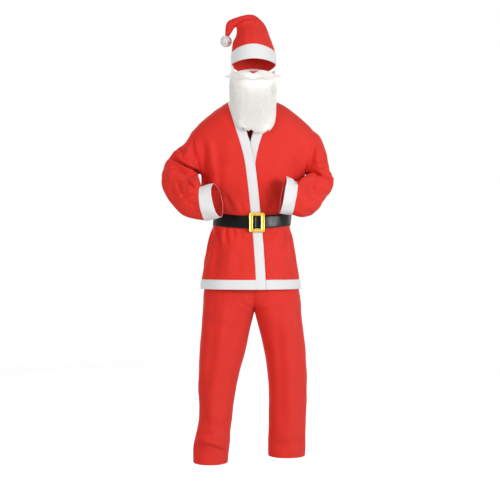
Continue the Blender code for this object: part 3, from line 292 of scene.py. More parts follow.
# Noise in the looks: its scale and detail, and the bumps made from it
Grain = namedtuple("Grain", "scale detail strength height")
FELT_GRAIN = (Grain(260, 3, 0.12, 0.0008), Grain(1300, 3, 0.35, 0.0004))
FIBRE_GRAIN = (Grain(420, 3, 0.25, 0.0008),)
VINYL_GRAIN = (Grain(45, 2, 0.25, 0.002), Grain(1500, 2, 0.12, 0.0003))
GOLD_GRAIN = (Grain(160, 2, 0.10, 0.0006),)
# Noise that shifts a value: its scale and detail, and the value at its low and high parts
Shift = namedtuple("Shift", "scale detail low high")
FELT_MOTTLE, FELT_MATTING = Shift(9, 3, 0.0, 0.35), Shift(620, 4, 0.0, 0.45)
FIBRE_STREAKS = Shift(180, 3, 0.0, 0.6)
VINYL_SHINE, GOLD_SHINE = Shift(60, 3, 0.30, 0.46), Shift(300, 3, 0.24, 0.42)
VINYL_TONE, GOLD_TONE = Shift(900, 2, 0.0, 1.0), Shift(90, 3, 0.0, 1.0)
NOISE_LOW, NOISE_HIGH = 0.3, 0.7         # where noise is taken to start and end
EVEN, FALLING = (1, 1, 1), (1, 1, 0.08)  # how noise is stretched along each axis
STITCH_PITCH, STITCH_LENGTH, STITCH_RADIUS, STITCH_SIDES = 0.0042, 0.0028, 0.00035, 5
STITCH_RISE = np.array((-0.5, 0.5, 0.5, -0.5))       # of the points along a stitch, in its radii
TRIM_SEWING, TROUSER_HEM = 0.0026, 0.02  # how far from an edge its sewing runs
FLOOR_Z, FLOOR_RADIUS, FLOOR_GLOW, FLOOR_COLOUR = -1.516, 6.0, 0.45, (0.93, 0.93, 0.935)
BACKDROP_RADIUS = 40.0
FLOOR_FADE_START, FLOOR_FADE_END = 1.2, FLOOR_RADIUS * 0.95
HORIZON_LIGHT, SKY_LIGHT, GROUND_LIGHT = 0.60, 0.42, 0.62     # the studio's walls, ceiling and what is below
WALL_END, SKY_START, WALL_START, GROUND_END = 0.18, 0.5, -0.2, -0.5  # as heights on a sphere of radius 1
LAMP_COLOUR = (1.0, 0.99, 0.98)
Lamp = namedtuple("Lamp", "name x y z width height watts shines lights")
LAMPS = (
    Lamp("key", 1.7, -2.4, -0.05, 0.7, 0.7, 41.0, False, True),
    Lamp("softbox", 3.0, -2.4, -0.35, 2.6, 2.2, 480.0, True, False),
    Lamp("fill", -2.2, -2.8, -0.2, 1.4, 1.4, 30.0, False, True),
    Lamp("top", -0.4, -0.8, 3.0, 1.8, 1.8, 11.0, True, True),
    Lamp("back", -1.6, 3.4, 1.2, 2.0, 2.0, 70.0, True, True),
    Lamp("back_side", 2.6, 3.0, 0.2, 1.4, 1.4, 20.0, True, True),
)
CAMERA_X, CAMERA_Z, CAMERA_DISTANCE = -0.012, -0.588, 5.0
CAMERA_LENS, CAMERA_SENSOR = 90.0, 36.0
AIM = Vector((0, 0, -0.45))              # what the lamps point at


# ---------------------------------------------------------------- creases
# Soft troughs (depth below 0) and ridges, each on the cloth that faces its way; on the sides, x is read as y.
# `bow` is how far the middle of the line lies off the straight, to its left
RIGHTWARD, LEFTWARD = -2.0, 2.0
Crease = namedtuple("Crease", "facing x0 z0 x1 z1 half_width depth bow")
CREASE_STRENGTH, CREASE_REACH = 1.25, 4.5            # reach in half widths
CREST_ROUNDING, CREST_POWER = 0.02, 1.5              # how sharp a crease is in its middle
SWELL, SWELL_AT = 0.30, 2.0                          # the swell beside it, as a share of its depth
CREASE_WAVES, CREASE_WAVE, CREASE_PHASE = 7.0, 0.22, 90.0            # how its width changes along it
FADE_IN, FADE_OUT, FADE_PAST = 0.25, 0.4, 0.06       # along it, as shares of its length
BOW_POINTS, FACING_BLEND = 11, 2.5


def creases_of(facing, rows):
    """Creases from rows of x0, z0, x1, z1, half_width, depth and bow in millimetres."""
    return rows_of(Crease, [(facing, *row) for row in rows], whole=1)


JACKET_CREASES = (
    creases_of(FORWARD, (
        # from the right armpit down the chest
        (-200, -160, -182, -345, 10, -5.5, 10), (-176, -150, -158, -350, 14, 3.6, 12),
        (-152, -200, -136, -400, 12, -3.4, 8), (-112, -150, -98, -330, 20, 2.2, 10),
        (-192, -345, -150, -445, 10, -4.5, 6), (-150, -395, -100, -446, 9, -3.6, -6),
        (-108, -375, -78, -446, 9, -3.2, 4), (-55, -400, -40, -446, 8, -2.4, 3),
        (-75, -250, -60, -390, 18, -1.8, -8),
        # from the left armpit
        (196, -165, 170, -310, 10, -4.2, -10), (168, -200, 138, -300, 12, 3, -8),
        (150, -240, 105, -330, 11, -3, 8), (168, -335, 150, -440, 11, -4.2, -6),
        (142, -375, 95, -444, 9, -3.6, 6), (85, -395, 62, -444, 8, -2.8, -3),
        (72, -270, 85, -400, 18, 2.2, -10), (110, -120, 60, -230, 20, -1.8, 10),
        # below the belt, on the right
        (-139, -492, -131, -570, 6.5, -8, 3), (-122, -500, -116, -600, 10, 4, 3),
        (-104, -500, -100, -566, 6, -5.6, -3), (-80, -500, -74, -545, 6, -4, 2),
        (-52, -500, -46, -550, 7, -3.6, 3), (-150, -560, -156, -690, 14, -3.4, 6),
        (-92, -585, -104, -700, 18, 3, 6), (-50, -600, -72, -700, 16, -2.2, 4),
        # below the belt, on the left
        (60, -548, 106, -528, 5, -6.4, 3), (143, -545, 104, -590, 6, -8.2, -6),
        (128, -506, 112, -556, 6, -6, 3), (122, -570, 90, -605, 10, 4.4, -4),
        (86, -506, 80, -545, 5.5, -4.2, 2), (148, -520, 138, -660, 10, -4, 5),
        (80, -600, 106, -690, 10, -4, -6), (60, -506, 62, -560, 6, -3.4, 3), (128, -640, 100, -700, 13, 3, 5),
    ))
    + creases_of(BACKWARD, (
        (-170, -130, -115, -330, 13, -6.4, -12), (-140, -120, -85, -300, 16, 3.6, -12),
        (176, -140, 125, -350, 14, -6.4, 12), (145, -120, 95, -310, 16, 3.6, 12),
        (-100, -200, -62, -430, 15, 4.6, -8), (104, -210, 60, -432, 15, 4.4, 8),
        (14, -250, 4, -436, 13, -5, 6), (-30, -300, -20, -440, 12, 3.4, 4),
        (-75, -340, -45, -444, 9, -4.8, 4),
        (76, -330, 50, -444, 9, -4.8, -4), (-140, -375, -95, -444, 9, -4.6, -4),
        (142, -370, 100, -444, 9, -4.4, 4), (35, -390, 26, -444, 8, -3.6, 3),
        (-120, -500, -140, -660, 12, -5.8, 6), (-92, -500, -100, -690, 14, 4.6, 6),
        (-62, -500, -66, -630, 10, -5.2, 4), (-28, -500, -30, -610, 10, 3.4, 4),
        (4, -500, 0, -690, 12, -5, 5),
        (34, -500, 40, -640, 12, 4, -5), (62, -500, 74, -650, 11, -5.6, -5),
        (94, -500, 106, -690, 13, 4.4, -6), (124, -500, 138, -680, 12, -5.4, -6),
    ))
    + creases_of(RIGHTWARD, (
        (-30, -320, 10, -440, 10, -5, 6), (40, -320, 30, -440, 11, -4.8, -6),
        (-40, -506, -50, -650, 11, -5.2, 5), (30, -506, 42, -670, 12, -5.6, -5),
        (66, -506, 80, -640, 11, 4, -4),
    ))
    + creases_of(LEFTWARD, (
        (-26, -320, 12, -440, 10, -5, 6), (42, -310, 28, -440, 11, -4.8, -6),
        (-44, -506, -56, -660, 11, -5.4, 5), (32, -506, 40, -640, 12, -5.4, -5),
        (-74, -506, -92, -620, 11, 4, 4),
    ))
)
SLEEVE_CREASES = (
    creases_of(FORWARD, (
        # right: the crook, then what fans out of it
        (-330, -220, -186, -299, 6.5, -21, -2), (-320, -196, -216, -262, 10, 6, 3),
        (-312, -246, -214, -306, 9, 5.6, 3), (-326, -264, -256, -292, 4.5, -7.6, 3),
        (-291, -172, -276, -236, 8, -6, 5), (-262, -160, -256, -225, 10, 3.6, 4),
        (-232, -150, -228, -268, 8, -5, -5), (-300, -316, -270, -384, 6, -7.4, 4),
        (-262, -312, -212, -352, 5.5, -7.4, -4), (-310, -312, -272, -330, 5, -5.6, 2),
        (-282, -386, -216, -374, 6, -6, 4), (-254, -344, -240, -372, 8, 4.4, 2),
        (-320, -340, -286, -410, 11, -4, -6), (-262, -404, -214, -424, 8, -4.4, 4),
        (-342, -250, -336, -345, 12, -3, -8),
        # left
        (158, -334, 256, -283, 6.5, -21, 13), (226, -284, 326, -344, 6, -19, 9),
        (200, -268, 268, -262, 9, 5.6, 6), (190, -330, 262, -302, 9, 6, 10), (264, -258, 334, -300, 6, -6, 6),
        (268, -274, 322, -312, 8, 4.4, 6), (242, -160, 220, -270, 8, -4.8, 4),
        (262, -180, 252, -262, 10, 3.6, -4), (284, -200, 280, -258, 9, -4, -4),
        (226, -332, 249, -396, 6.5, -7.8, 4), (250, -350, 292, -376, 8, -5, 6),
        (208, -352, 218, -400, 8, 4.4, 4), (198, -404, 262, -408, 8, -4.6, 8),
        (190, -438, 232, -434, 8, -3.6, -6),
    ))
    + creases_of(BACKWARD, (
        (-235, -240, -338, -270, 11, -9, 6), (-245, -265, -325, -300, 12, 4.6, 6),
        (-255, -185, -325, -212, 11, -5.6, 4), (-250, -320, -340, -332, 11, -7, 10),
        (-240, -375, -305, -394, 11, -5.6, 8), (-205, -420, -228, -460, 9, -4.4, 4),
        (228, -245, 300, -286, 11, -9, -6), (240, -270, 295, -305, 12, 4.6, -6),
        (242, -185, 290, -222, 11, -5.4, -4), (236, -320, 304, -342, 11, -7, -8),
        (212, -375, 274, -394, 11, -5.6, -8),
    ))
    + creases_of(RIGHTWARD, (
        (70, -200, -20, -250, 12, -3.4, 6), (60, -258, -30, -300, 12, -3.8, 6),
        (20, -330, -70, -350, 12, -3.4, 6), (-20, -390, -110, -404, 12, -3, 6),
    ))
    + creases_of(LEFTWARD, (
        (70, -200, -20, -248, 12, -3.4, 6), (60, -256, -30, -302, 12, -3.8, 6),
        (20, -332, -70, -352, 12, -3.4, 6), (-20, -388, -110, -402, 12, -3, 6),
    ))
)
TROUSER_CREASES = (
    creases_of(FORWARD, (
        # crotch
        (12, -824, -62, -782, 8, -4.2, 4), (10, -806, -36, -742, 8, -3.1, 3),
        (4, -826, 70, -800, 8, -4.2, -6),
        (6, -796, 54, -760, 8, -3, -4), (4, -850, -50, -850, 9, -2.5, 4), (14, -852, 58, -856, 9, -2.5, -4),
        # right leg
        (-112, -770, -150, -1080, 16, 3.4, 12), (-160, -760, -184, -1160, 14, -3.2, 10),
        (-72, -850, -118, -1220, 15, -3, -10), (-140, -1060, -162, -1330, 15, 2.7, -8),
        (-190, -1080, -200, -1330, 14, -2.3, -6), (-135, -1150, -130, -1350, 12, -2.1, 6),
        (-215, -1366, -160, -1360, 8, -5, 6), (-170, -1360, -108, -1398, 8, -5.3, 6),
        (-224, -1326, -140, -1312, 10, -3.5, 8), (-196, -1342, -116, -1366, 10, 3.5, 6),
        (-190, -1270, -120, -1300, 12, -2.1, 8),
        # left leg
        (138, -770, 158, -1150, 16, 3.1, -10), (94, -860, 108, -1300, 14, -3.2, 8),
        (172, -800, 192, -1250, 13, -2.9, -6), (142, -1120, 132, -1370, 14, 2.6, 6),
        (168, -1130, 174, -1350, 12, -2.1, 5), (192, -1326, 125, -1344, 12, -1.9, 8),
        (135, -1360, 84, -1350, 10, -1.7, -5),
    ))
    + creases_of(BACKWARD, (
        (2, -818, -74, -798, 9, -6.2, -6), (10, -818, 82, -798, 9, -6.2, 6),
        (-128, -848, -36, -870, 10, -5.3, 8), (132, -848, 46, -870, 10, -5.3, -8),
        (-95, -790, -60, -870, 13, 3.5, 8), (98, -790, 66, -870, 13, 3.5, -8),
        (-136, -900, -160, -1230, 15, 4.3, 10), (-95, -930, -120, -1200, 13, -3.7, 10),
        (-178, -880, -192, -1180, 13, -3.7, 8), (138, -900, 150, -1230, 15, 4.3, -10),
        (98, -930, 106, -1220, 13, -3.7, -8), (174, -880, 184, -1200, 13, -3.5, -8),
        (-195, -1128, -100, -1106, 10, -3, 10), (-190, -1160, -110, -1142, 11, -2.2, 8),
        (196, -1122, 98, -1102, 10, -3, -10), (190, -1156, 100, -1140, 11, -2.2, -8),
        (-220, -1326, -115, -1350, 10, -3.5, 10), (-212, -1356, -130, -1378, 11, 2.2, 8),
        (-206, -1390, -120, -1404, 9, -2.7, -8), (200, -1296, 86, -1322, 10, -3.2, -10),
        (196, -1330, 95, -1346, 11, 2.1, 8), (192, -1354, 82, -1370, 9, -2.7, 8),
    ))
    + creases_of(RIGHTWARD, (
        (-30, -760, -20, -1120, 15, -1.8, 10), (34, -780, 30, -1180, 15, -1.8, -10),
        (4, -900, 12, -1280, 16, 1.6, 10),
    ))
    + creases_of(LEFTWARD, (
        (-30, -760, -22, -1140, 15, -1.8, 10), (36, -780, 30, -1160, 15, -1.8, -10),
        (4, -920, 10, -1260, 16, 1.6, 10),
    ))
)
HAT_CREASES = (
    creases_of(FORWARD, (
        (-26, 215, -30, 290, 8, 3.4, 2), (-58, 313, 12, 331, 5.5, -6, 6), (-70, 298, 8, 314, 8, 3.4, 8),
        (-58, 284, 0, 292, 6, -4.6, 8), (-100, 316, -72, 322, 6, -3.6, 3), (-60, 232, -40, 268, 10, -3.6, 4),
        (20, 300, 44, 240, 12, -2.8, 6),
    ))
    + creases_of(BACKWARD, (
        (2, 200, -2, 290, 8, 3, 0), (-60, 306, 12, 322, 8, -4.6, -6), (-60, 262, 20, 280, 10, -4.4, 10),
        (-62, 318, 4, 334, 9, 2.4, 6),
    ))
)

# ---------------------------------------------------------------- the fields of a cut's sizes, before sewing; no cuts are listed
Cut = namedtuple("Cut", "width length area")


# ---------------------------------------------------------------- tables and grids
def hermite(t, first, last, slope, last_slope):
    """From one value to the next with the given slopes at both."""
    return ((2 * t**3 - 3 * t**2 + 1) * first + (t**3 - 2 * t**2 + t) * slope
            + (3 * t**2 - 2 * t**3) * last + (t**3 - t**2) * last_slope)


def smooth(rows, at):
    """The row of a table at each value of its first column, on a smooth curve through the table's rows."""
    values = np.array(rows, float)
    keys = values[:, 0]
    slopes = np.gradient(values, keys, axis=0)
    at = np.clip(at, keys[0], keys[-1])
    i = np.clip(np.searchsorted(keys, at, side="right") - 1, 0, len(keys) - 2)
    step = (keys[i + 1] - keys[i])[..., None]
    t = (at - keys[i])[..., None] / step
    found = hermite(t, values[i], values[i + 1], step * slopes[i], step * slopes[i + 1])
    return type(rows[0])(*np.moveaxis(found, -1, 0))


def unit(vectors):
    """The vectors with length 1."""
    return vectors / np.maximum(np.linalg.norm(vectors, axis=-1, keepdims=True), TINY)


def ease(t):
    """0 to 1 with level ends."""
    t = np.clip(t, 0.0, 1.0)
    return t * t * (3 - 2 * t)


def distances(curve):
    """How far each point of a curve lies from its start, along it."""
    return np.concatenate(([0.0], np.cumsum(np.linalg.norm(np.diff(curve, axis=0), axis=1))))


def along(curve, stations, values=None):
    """Points of a curve at distances from its start, or what `values` are there."""
    reach = distances(curve)
    values = curve if values is None else values
    return np.stack([np.interp(stations, reach, values[:, axis]) for axis in range(3)], axis=-1)


def from_border(field, border):
    """A view of a grid's field whose columns run away from one of its borders."""
    return {"first": field, "last": field[:, ::-1], "bottom": field.swapaxes(0, 1),
            "top": field[::-1].swapaxes(0, 1)}[border]


def shared_normals(grids, signs):
    """Outward normals of several grids that meet at seams: points that coincide share one normal."""
    corners, sums = [], []
    for grid, sign in zip(grids, signs):
        faces = sign * np.cross(grid[1:, 1:] - grid[:-1, :-1], grid[1:, :-1] - grid[:-1, 1:])
        total = np.zeros_like(grid)
        for part in (total[:-1, :-1], total[1:, :-1], total[:-1, 1:], total[1:, 1:]):
            part += faces
        corners.append(np.round(grid * SAME_TO).astype(int).reshape(-1, 3))
        sums.append(total.reshape(-1, 3))
    _, index = np.unique(np.concatenate(corners), axis=0, return_inverse=True)
    index = index.ravel()
    merged = np.zeros((index.max() + 1, 3))
    np.add.at(merged, index, np.concatenate(sums))
    ends = np.cumsum([len(total) for total in sums])[:-1]
    return [part.reshape(grid.shape) for part, grid in zip(np.split(unit(merged[index]), ends), grids)]


def folded(grid, outward, folds):
    """The grid with its folds: each one fades evenly with the distance from its line."""
    grid = grid.copy()
    for fold in folds:
        start, line = np.array(fold[:3]), np.array(fold[3:6]) - fold[:3]
        at = np.clip((grid - start) @ line / (line @ line), 0, 1)
        away = np.linalg.norm(grid - start - at[..., None] * line, axis=-1)
        grid += outward * (fold.depth * np.exp(-((away / fold.half_width) ** 2)))[..., None]
    return grid


def inset(grid, closed):
    """The grid with its borders drawn in by half a seam's gap."""
    drawn = grid.copy()
    drawn[0] += unit(grid[1] - grid[0]) * SEAM / 2
    drawn[-1] += unit(grid[-2] - grid[-1]) * SEAM / 2
    if not closed:
        drawn[:, 0] += unit(grid[:, 1] - grid[:, 0]) * SEAM / 2
        drawn[:, -1] += unit(grid[:, -2] - grid[:, -1]) * SEAM / 2
    return drawn


def creased(grid, outward, creases):
    """The grid with its creases: each fades to its ends and has a slight swell on both sides."""
    lift = np.zeros(grid.shape[:2])
    for crease in creases:
        start, end = np.array((crease.x0, crease.z0)), np.array((crease.x1, crease.z1))
        run = end - start
        middle = (start + end) / 2 + crease.bow * np.array((-run[1], run[0])) / np.linalg.norm(run) * 2
        t = np.linspace(0, 1, BOW_POINTS)[:, None]
        line = start * (1 - t) ** 2 + middle * 2 * t * (1 - t) + end * t**2
        across, axis = (1, 0) if crease.facing in (RIGHTWARD, LEFTWARD) else (0, 1)
        place = grid[..., (across, 2)]
        reach = CREASE_REACH * crease.half_width
        near = np.all((place > line.min(axis=0) - reach) & (place < line.max(axis=0) + reach), axis=-1)
        if not near.any():
            continue
        place, steps = place[near][:, None], np.diff(line, axis=0)
        share = np.clip(((place - line[:-1]) * steps).sum(-1) / (steps**2).sum(-1), 0, 1)
        away = np.linalg.norm(place - line[:-1] - share[..., None] * steps, axis=-1)
        nearest = away.argmin(axis=-1)
        at = (nearest + np.take_along_axis(share, nearest[:, None], 1)[:, 0]) / len(steps)
        width = crease.half_width * (1 + CREASE_WAVE * np.sin(CREASE_WAVES * at + CREASE_PHASE * crease.x0))
        away = away.min(axis=-1) / width
        profile = np.exp(-(np.sqrt(away**2 + CREST_ROUNDING) ** CREST_POWER))
        profile -= SWELL * np.exp(-((away - SWELL_AT) ** 2))
        fade = ease((at + FADE_PAST) / FADE_IN) * ease((1 + FADE_PAST - at) / FADE_OUT)
        turned = math.copysign(1.0, crease.facing) * outward[near][:, axis]
        lift[near] += CREASE_STRENGTH * crease.depth * profile * fade * ease(turned * FACING_BLEND)
    return grid + outward * lift[..., None]


def dipped(grid, outward, borders):
    """The grid sunk along the borders that are seams, so that the cloth rounds into them."""
    sunk = grid.copy()
    for border in borders:
        points, lowered, facing = (from_border(field, border) for field in (grid, sunk, outward))
        steps = np.linalg.norm(np.diff(points, axis=1), axis=2)
        away = np.concatenate((np.zeros((len(points), 1)), np.cumsum(steps, axis=1)), axis=1)
        lowered -= facing * (SEAM_DIP * np.exp(-((away / SEAM_DIP_WIDTH) ** 2)))[..., None]
    return sunk


def uneven(grid, outward, size, depth):
    """The grid with a slight, slow unevenness, as hung cloth has; `depth` is a number or one for each row."""
    place = grid / size
    lift = sum(height * np.sin(place @ first[:3] + first.start) * np.sin(place @ second[:3] + second.start)
               for height, first, second in SAG_WAVES)
    return grid + outward * (np.reshape(depth, (-1, 1)) * lift)[..., None]


def lengthwise(grid, steps):
    """The grid with `steps` rows for each of its own, on smooth curves through them."""
    slopes = np.gradient(grid, axis=0)
    rows = []
    for at in np.linspace(0, len(grid) - 1, (len(grid) - 1) * steps + 1):
        i = min(int(at), len(grid) - 2)
        rows.append(hermite(at - i, grid[i], grid[i + 1], slopes[i], slopes[i + 1]))
    return np.array(rows)


def worn(grids, signs, folds, sags, sag_size, creases, seams):
    """Grids that meet at seams, with folds, unevenness, creases and dips at the seams, and their normals."""
    grids = [folded(grid, outward, folds) for grid, outward in zip(grids, shared_normals(grids, signs))]
    grids = [creased(uneven(grid, outward, sag_size, sag), outward, table)
             for grid, outward, sag, table in zip(grids, shared_normals(grids, signs), sags, creases)]
    grids = [dipped(grid, outward, borders)
             for grid, outward, borders in zip(grids, shared_normals(grids, signs), seams)]
    return grids, shared_normals(grids, signs)


# ---------------------------------------------------------------- pieces
def linked(name, data):
    """A new object that shows the data."""
    holder = bpy.data.objects.new(name, data)
    bpy.context.scene.collection.objects.link(holder)
    return holder


def placed(mesh, node, material):
    """A smooth piece that rides on the suit, in the place of a node's plain solid."""
    mesh.materials.append(material)
    mesh.shade_smooth()
    piece = linked(mesh.name, mesh)
    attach(piece, "root")
    if node:
        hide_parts(node)
    return piece


def mesh_of(name, verts, faces):
    """A mesh from points and the faces between them."""
    mesh = bpy.data.meshes.new(name)
    mesh.from_pydata(verts, [], faces)
    return mesh


def solid(name, node, verts, faces, material):
    """A closed piece with its faces turned out."""
    mesh = mesh_of(name, [tuple(vert) for vert in verts], faces)
    bm = bmesh.new()
    bm.from_mesh(mesh)
    bmesh.ops.recalc_face_normals(bm, faces=bm.faces)
    bm.to_mesh(mesh)
    bm.free()
    return placed(mesh, node, material)


def made_by(make, name, **sizes):
    """A mesh that one of bmesh's operators makes."""
    bm = bmesh.new()
    make(bm, **sizes)
    mesh = bpy.data.meshes.new(name)
    bm.to_mesh(mesh)
    bm.free()
    return mesh


def lofted(rings, count, joined=False):
    """Faces between rings of `count` points: the last ring joined to the first, or both ends closed."""
    index = np.arange(rings * count).reshape(rings, count)
    ahead = np.roll(index, -1, axis=0)
    quads = np.stack([index, np.roll(index, -1, 1), np.roll(ahead, -1, 1), ahead], axis=-1)
    faces = [tuple(quad) for quad in quads[:rings if joined else -1].reshape(-1, 4)]
    return faces if joined else faces + [tuple(index[0]), tuple(index[-1][::-1])]


def shell(name, node, points, normals, skin, material, start=0.0, closed=False):
    """A closed wall on a grid of points, like the solids' walls, with rounded borders."""
    skin, start = (np.broadcast_to(size, points.shape[:2])[..., None] for size in (skin, start))
    drawn = inset(points, closed)
    inner, outer = drawn + normals * start, drawn + normals * (start + skin)
    rows, columns = points.shape[:2]
    index = np.arange(rows * columns).reshape(rows, columns)
    around = np.concatenate((index, index[:, :1]), axis=1) if closed else index
    quads = np.stack([around[:-1, :-1], around[:-1, 1:], around[1:, 1:], around[1:, :-1]], axis=-1)
    faces = [tuple(q) for q in quads.reshape(-1, 4)]
    faces += [tuple(q) for q in quads.reshape(-1, 4) + rows * columns]
    if closed:
        loops = [(index[0], index[1]), (index[-1], index[-2])]
    else:
        border = np.concatenate((index[0], index[1:, -1], index[-1, -2::-1], index[-2:0:-1, 0]))
        inside = np.clip(np.stack(np.unravel_index(border, index.shape)), 1, [[rows - 2], [columns - 2]])
        loops = [(border, index[inside[0], inside[1]])]
    verts = [inner.reshape(-1, 3), outer.reshape(-1, 3)]
    count = 2 * rows * columns
    for border, inside in loops:
        flat, thick = drawn.reshape(-1, 3), skin.reshape(-1, 1)
        middle = (verts[0][border] + verts[1][border]) / 2
        verts.append(middle + unit(flat[border] - flat[inside]) * thick[border] * RIM_ROUNDING)
        rim = count + np.arange(len(border))
        count += len(border)
        for a, b in ((border, rim), (rim, border + rows * columns)):
            faces += [tuple(q) for q in np.stack([a, np.roll(a, -1), np.roll(b, -1), b], axis=-1)]
    return solid(name, node, np.concatenate(verts), faces, material)


def cloth(node, points, normals, skin, material, start=0.0, closed=False):
    """A shell that stands for a cut piece of cloth."""
    piece = shell(node + "_felt", node, points, normals, skin, material, start, closed)


def trim(node, points, normals, white, edges=("bottom", "top"), closed=False):
    """A folded strip on the red cloth, and the lines of sewing inside its edges."""
    thick = plump(*points.shape[:2], upright="first" in edges)
    cloth(node, points, normals, thick, white, FELT + SEAM, closed)
    return sewing(points, normals, FELT + SEAM + thick, edges)


def plump(rows, columns, upright):
    """How thick a folded trim is: fuller in the middle than at its edges."""
    across = np.linspace(0, 1, columns if upright else rows)
    thick = TRIM * (PLUMP_EDGE + PLUMP_MIDDLE * np.sin(np.pi * across) ** PLUMP_POWER)
    return np.broadcast_to(thick[None, :] if upright else thick[:, None], (rows, columns))


def sewing(grid, outward, height, edges, inside=TRIM_SEWING):
    """Lines `height` above the grid, just inside its edges: points, and how the cloth faces there."""
    raised = grid + outward * np.broadcast_to(height, grid.shape[:2])[..., None]
    lines = []
    for edge in edges:
        points, facing = from_border(raised, edge), from_border(outward, edge)
        steps = np.linalg.norm(np.diff(points, axis=1), axis=-1).mean(axis=0)
        away = np.concatenate(([0.0], np.cumsum(steps)))
        k = int(np.searchsorted(away, inside)) - 1
        share = (inside - away[k]) / steps[k]
        lines.append((points[:, k] * (1 - share) + points[:, k + 1] * share, facing[:, k]))
    return lines


def stitched(name, lines, material):
    """Lines of stitches, each stitch sunk in the cloth at both ends."""
    paths = []
    for points, outward in lines:
        starts = np.arange(STITCH_PITCH, distances(points)[-1] - STITCH_PITCH, STITCH_PITCH)
        at = starts[:, None] + np.linspace(0, STITCH_LENGTH, len(STITCH_RISE))
        up = unit(along(points, at, outward))
        paths.append(along(points, at) + up * (STITCH_RISE * STITCH_RADIUS)[:, None])
    strands(name, None, np.concatenate(paths), STITCH_RADIUS, material, STITCH_SIDES)


def strands(name, node, paths, widths, material, sides=3):
    """Fibres along paths, shaped (fibre, point, xyz); `widths` is their radius, or one for each point."""
    ahead = unit(np.gradient(paths, axis=1))
    aside = unit(np.cross(ahead, ASKEW))
    above = np.cross(ahead, aside)
    angles = np.arange(sides) * 2 * math.pi / sides
    widths = np.broadcast_to(widths, paths.shape[:2])[..., None, None]
    rings = paths[:, :, None] + widths * (aside[:, :, None] * np.cos(angles)[:, None]
                                          + above[:, :, None] * np.sin(angles)[:, None])
    count, points = paths.shape[:2]
    index = np.arange(count * points * sides).reshape(count, points, sides)
    near, far = index[:, :-1], index[:, 1:]
    faces = np.stack([near, np.roll(near, -1, axis=2), np.roll(far, -1, axis=2), far], axis=-1)
    placed(mesh_of(name, rings.reshape(-1, 3).tolist(), faces.reshape(-1, 4).tolist()), node, material)


# ---------------------------------------------------------------- jacket
def armhole(side, row, facing):
    """A point of the armhole's front or back half, from the underarm to the shoulder tip."""
    turn = math.pi * ((row - UNDERARM_ROW) / (SHOULDER_ROW - UNDERARM_ROW) - 0.5)
    x = ARMHOLE_X + ARMHOLE_LEAN * math.sin(turn)
    y = SIDE_SEAM_Y * (0.5 - 0.5 * math.sin(turn)) + facing * ARMHOLE_HALF_DEPTH * math.cos(turn)
    return np.array([side * x, y, ARMHOLE_Z + ARMHOLE_HALF_HEIGHT * math.sin(turn)])


def body_side(side, row, facing):
    """Where a row of the jacket ends: on the side seam or on the armhole."""
    if row >= UNDERARM_ROW:
        return armhole(side, row, facing)
    seam = smooth(SIDE_SEAM, row)
    return np.array([seam.middle + side * seam.half_width, SIDE_SEAM_Y, seam.z])


def body_row(side, row, facing, lift=0.0, beyond=0.0):
    """Half a section of the body from its middle, or from `beyond` it, to the side seam or armhole."""
    middle = smooth(FRONT_MIDDLE if facing == FORWARD else BACK_MIDDLE, row)
    end = body_side(side, row, facing)
    turn = math.radians(min(smooth(EDGE_TURN, row).degrees, 90))
    s = np.linspace(-beyond, 1.0, SECTION_POINTS)
    reach = np.sin(np.abs(s) * turn) ** ROUNDNESS / math.sin(turn) ** ROUNDNESS
    fall = (1 - np.abs(np.cos(s * turn)) ** ROUNDNESS) / (1 - abs(math.cos(turn)) ** ROUNDNESS)
    centre_x = smooth(SIDE_SEAM, min(row, UNDERARM_ROW)).middle
    x = centre_x + (end[0] - centre_x) * np.sign(s) * reach
    lifted = facing * lift * (1 - ease((s - LIFT_FADE_START) / LIFT_FADE_LENGTH))
    y = middle.y + (end[1] - middle.y) * fall + lifted
    z = middle.z + (end[2] - middle.z) * reach**SIDE_FALL
    return np.stack([x, y, z], axis=1)


def beyond_edge(curve, side, edge):
    """The part of a section that lies past a front's free edge."""
    levels = np.linspace(edge[0].z, edge[-1].z, EDGE_LEVELS)
    edge_x = np.interp(curve[:, 2], levels, [smooth(edge, z).x for z in levels])
    past = side * (curve[:, 0] - edge_x)
    first = int(np.argmax(past >= 0))
    share = past[first] / (past[first] - past[first - 1])
    return np.concatenate(([curve[first] + (curve[first - 1] - curve[first]) * share], curve[first:]))


def front_grid(side, edge, lift):
    """A front's points: columns run from its free edge, across the trim, to the side seam or armhole."""
    rows = []
    for row in JACKET_ROWS:
        curve = body_row(side, row, FORWARD, lift, beyond=BEYOND_MIDDLE)
        curve = beyond_edge(curve, side, edge)
        band = np.linspace(0, FRONT_TRIM_WIDTH, TRIM_COLUMNS + 1)
        rest = np.linspace(FRONT_TRIM_WIDTH, distances(curve)[-1], FRONT_COLUMNS + 1)[1:]
        rows.append(along(curve, np.concatenate((band, rest))))
    return np.array(rows)


def shoulder_line(side):
    """The shoulder seam, from the edge of the neck to the tip of the shoulder."""
    curve = body_row(side, SHOULDER_ROW, FORWARD)
    return beyond_edge(curve, side, RIGHT_FRONT_EDGE if side == RIGHT else LEFT_FRONT_EDGE)


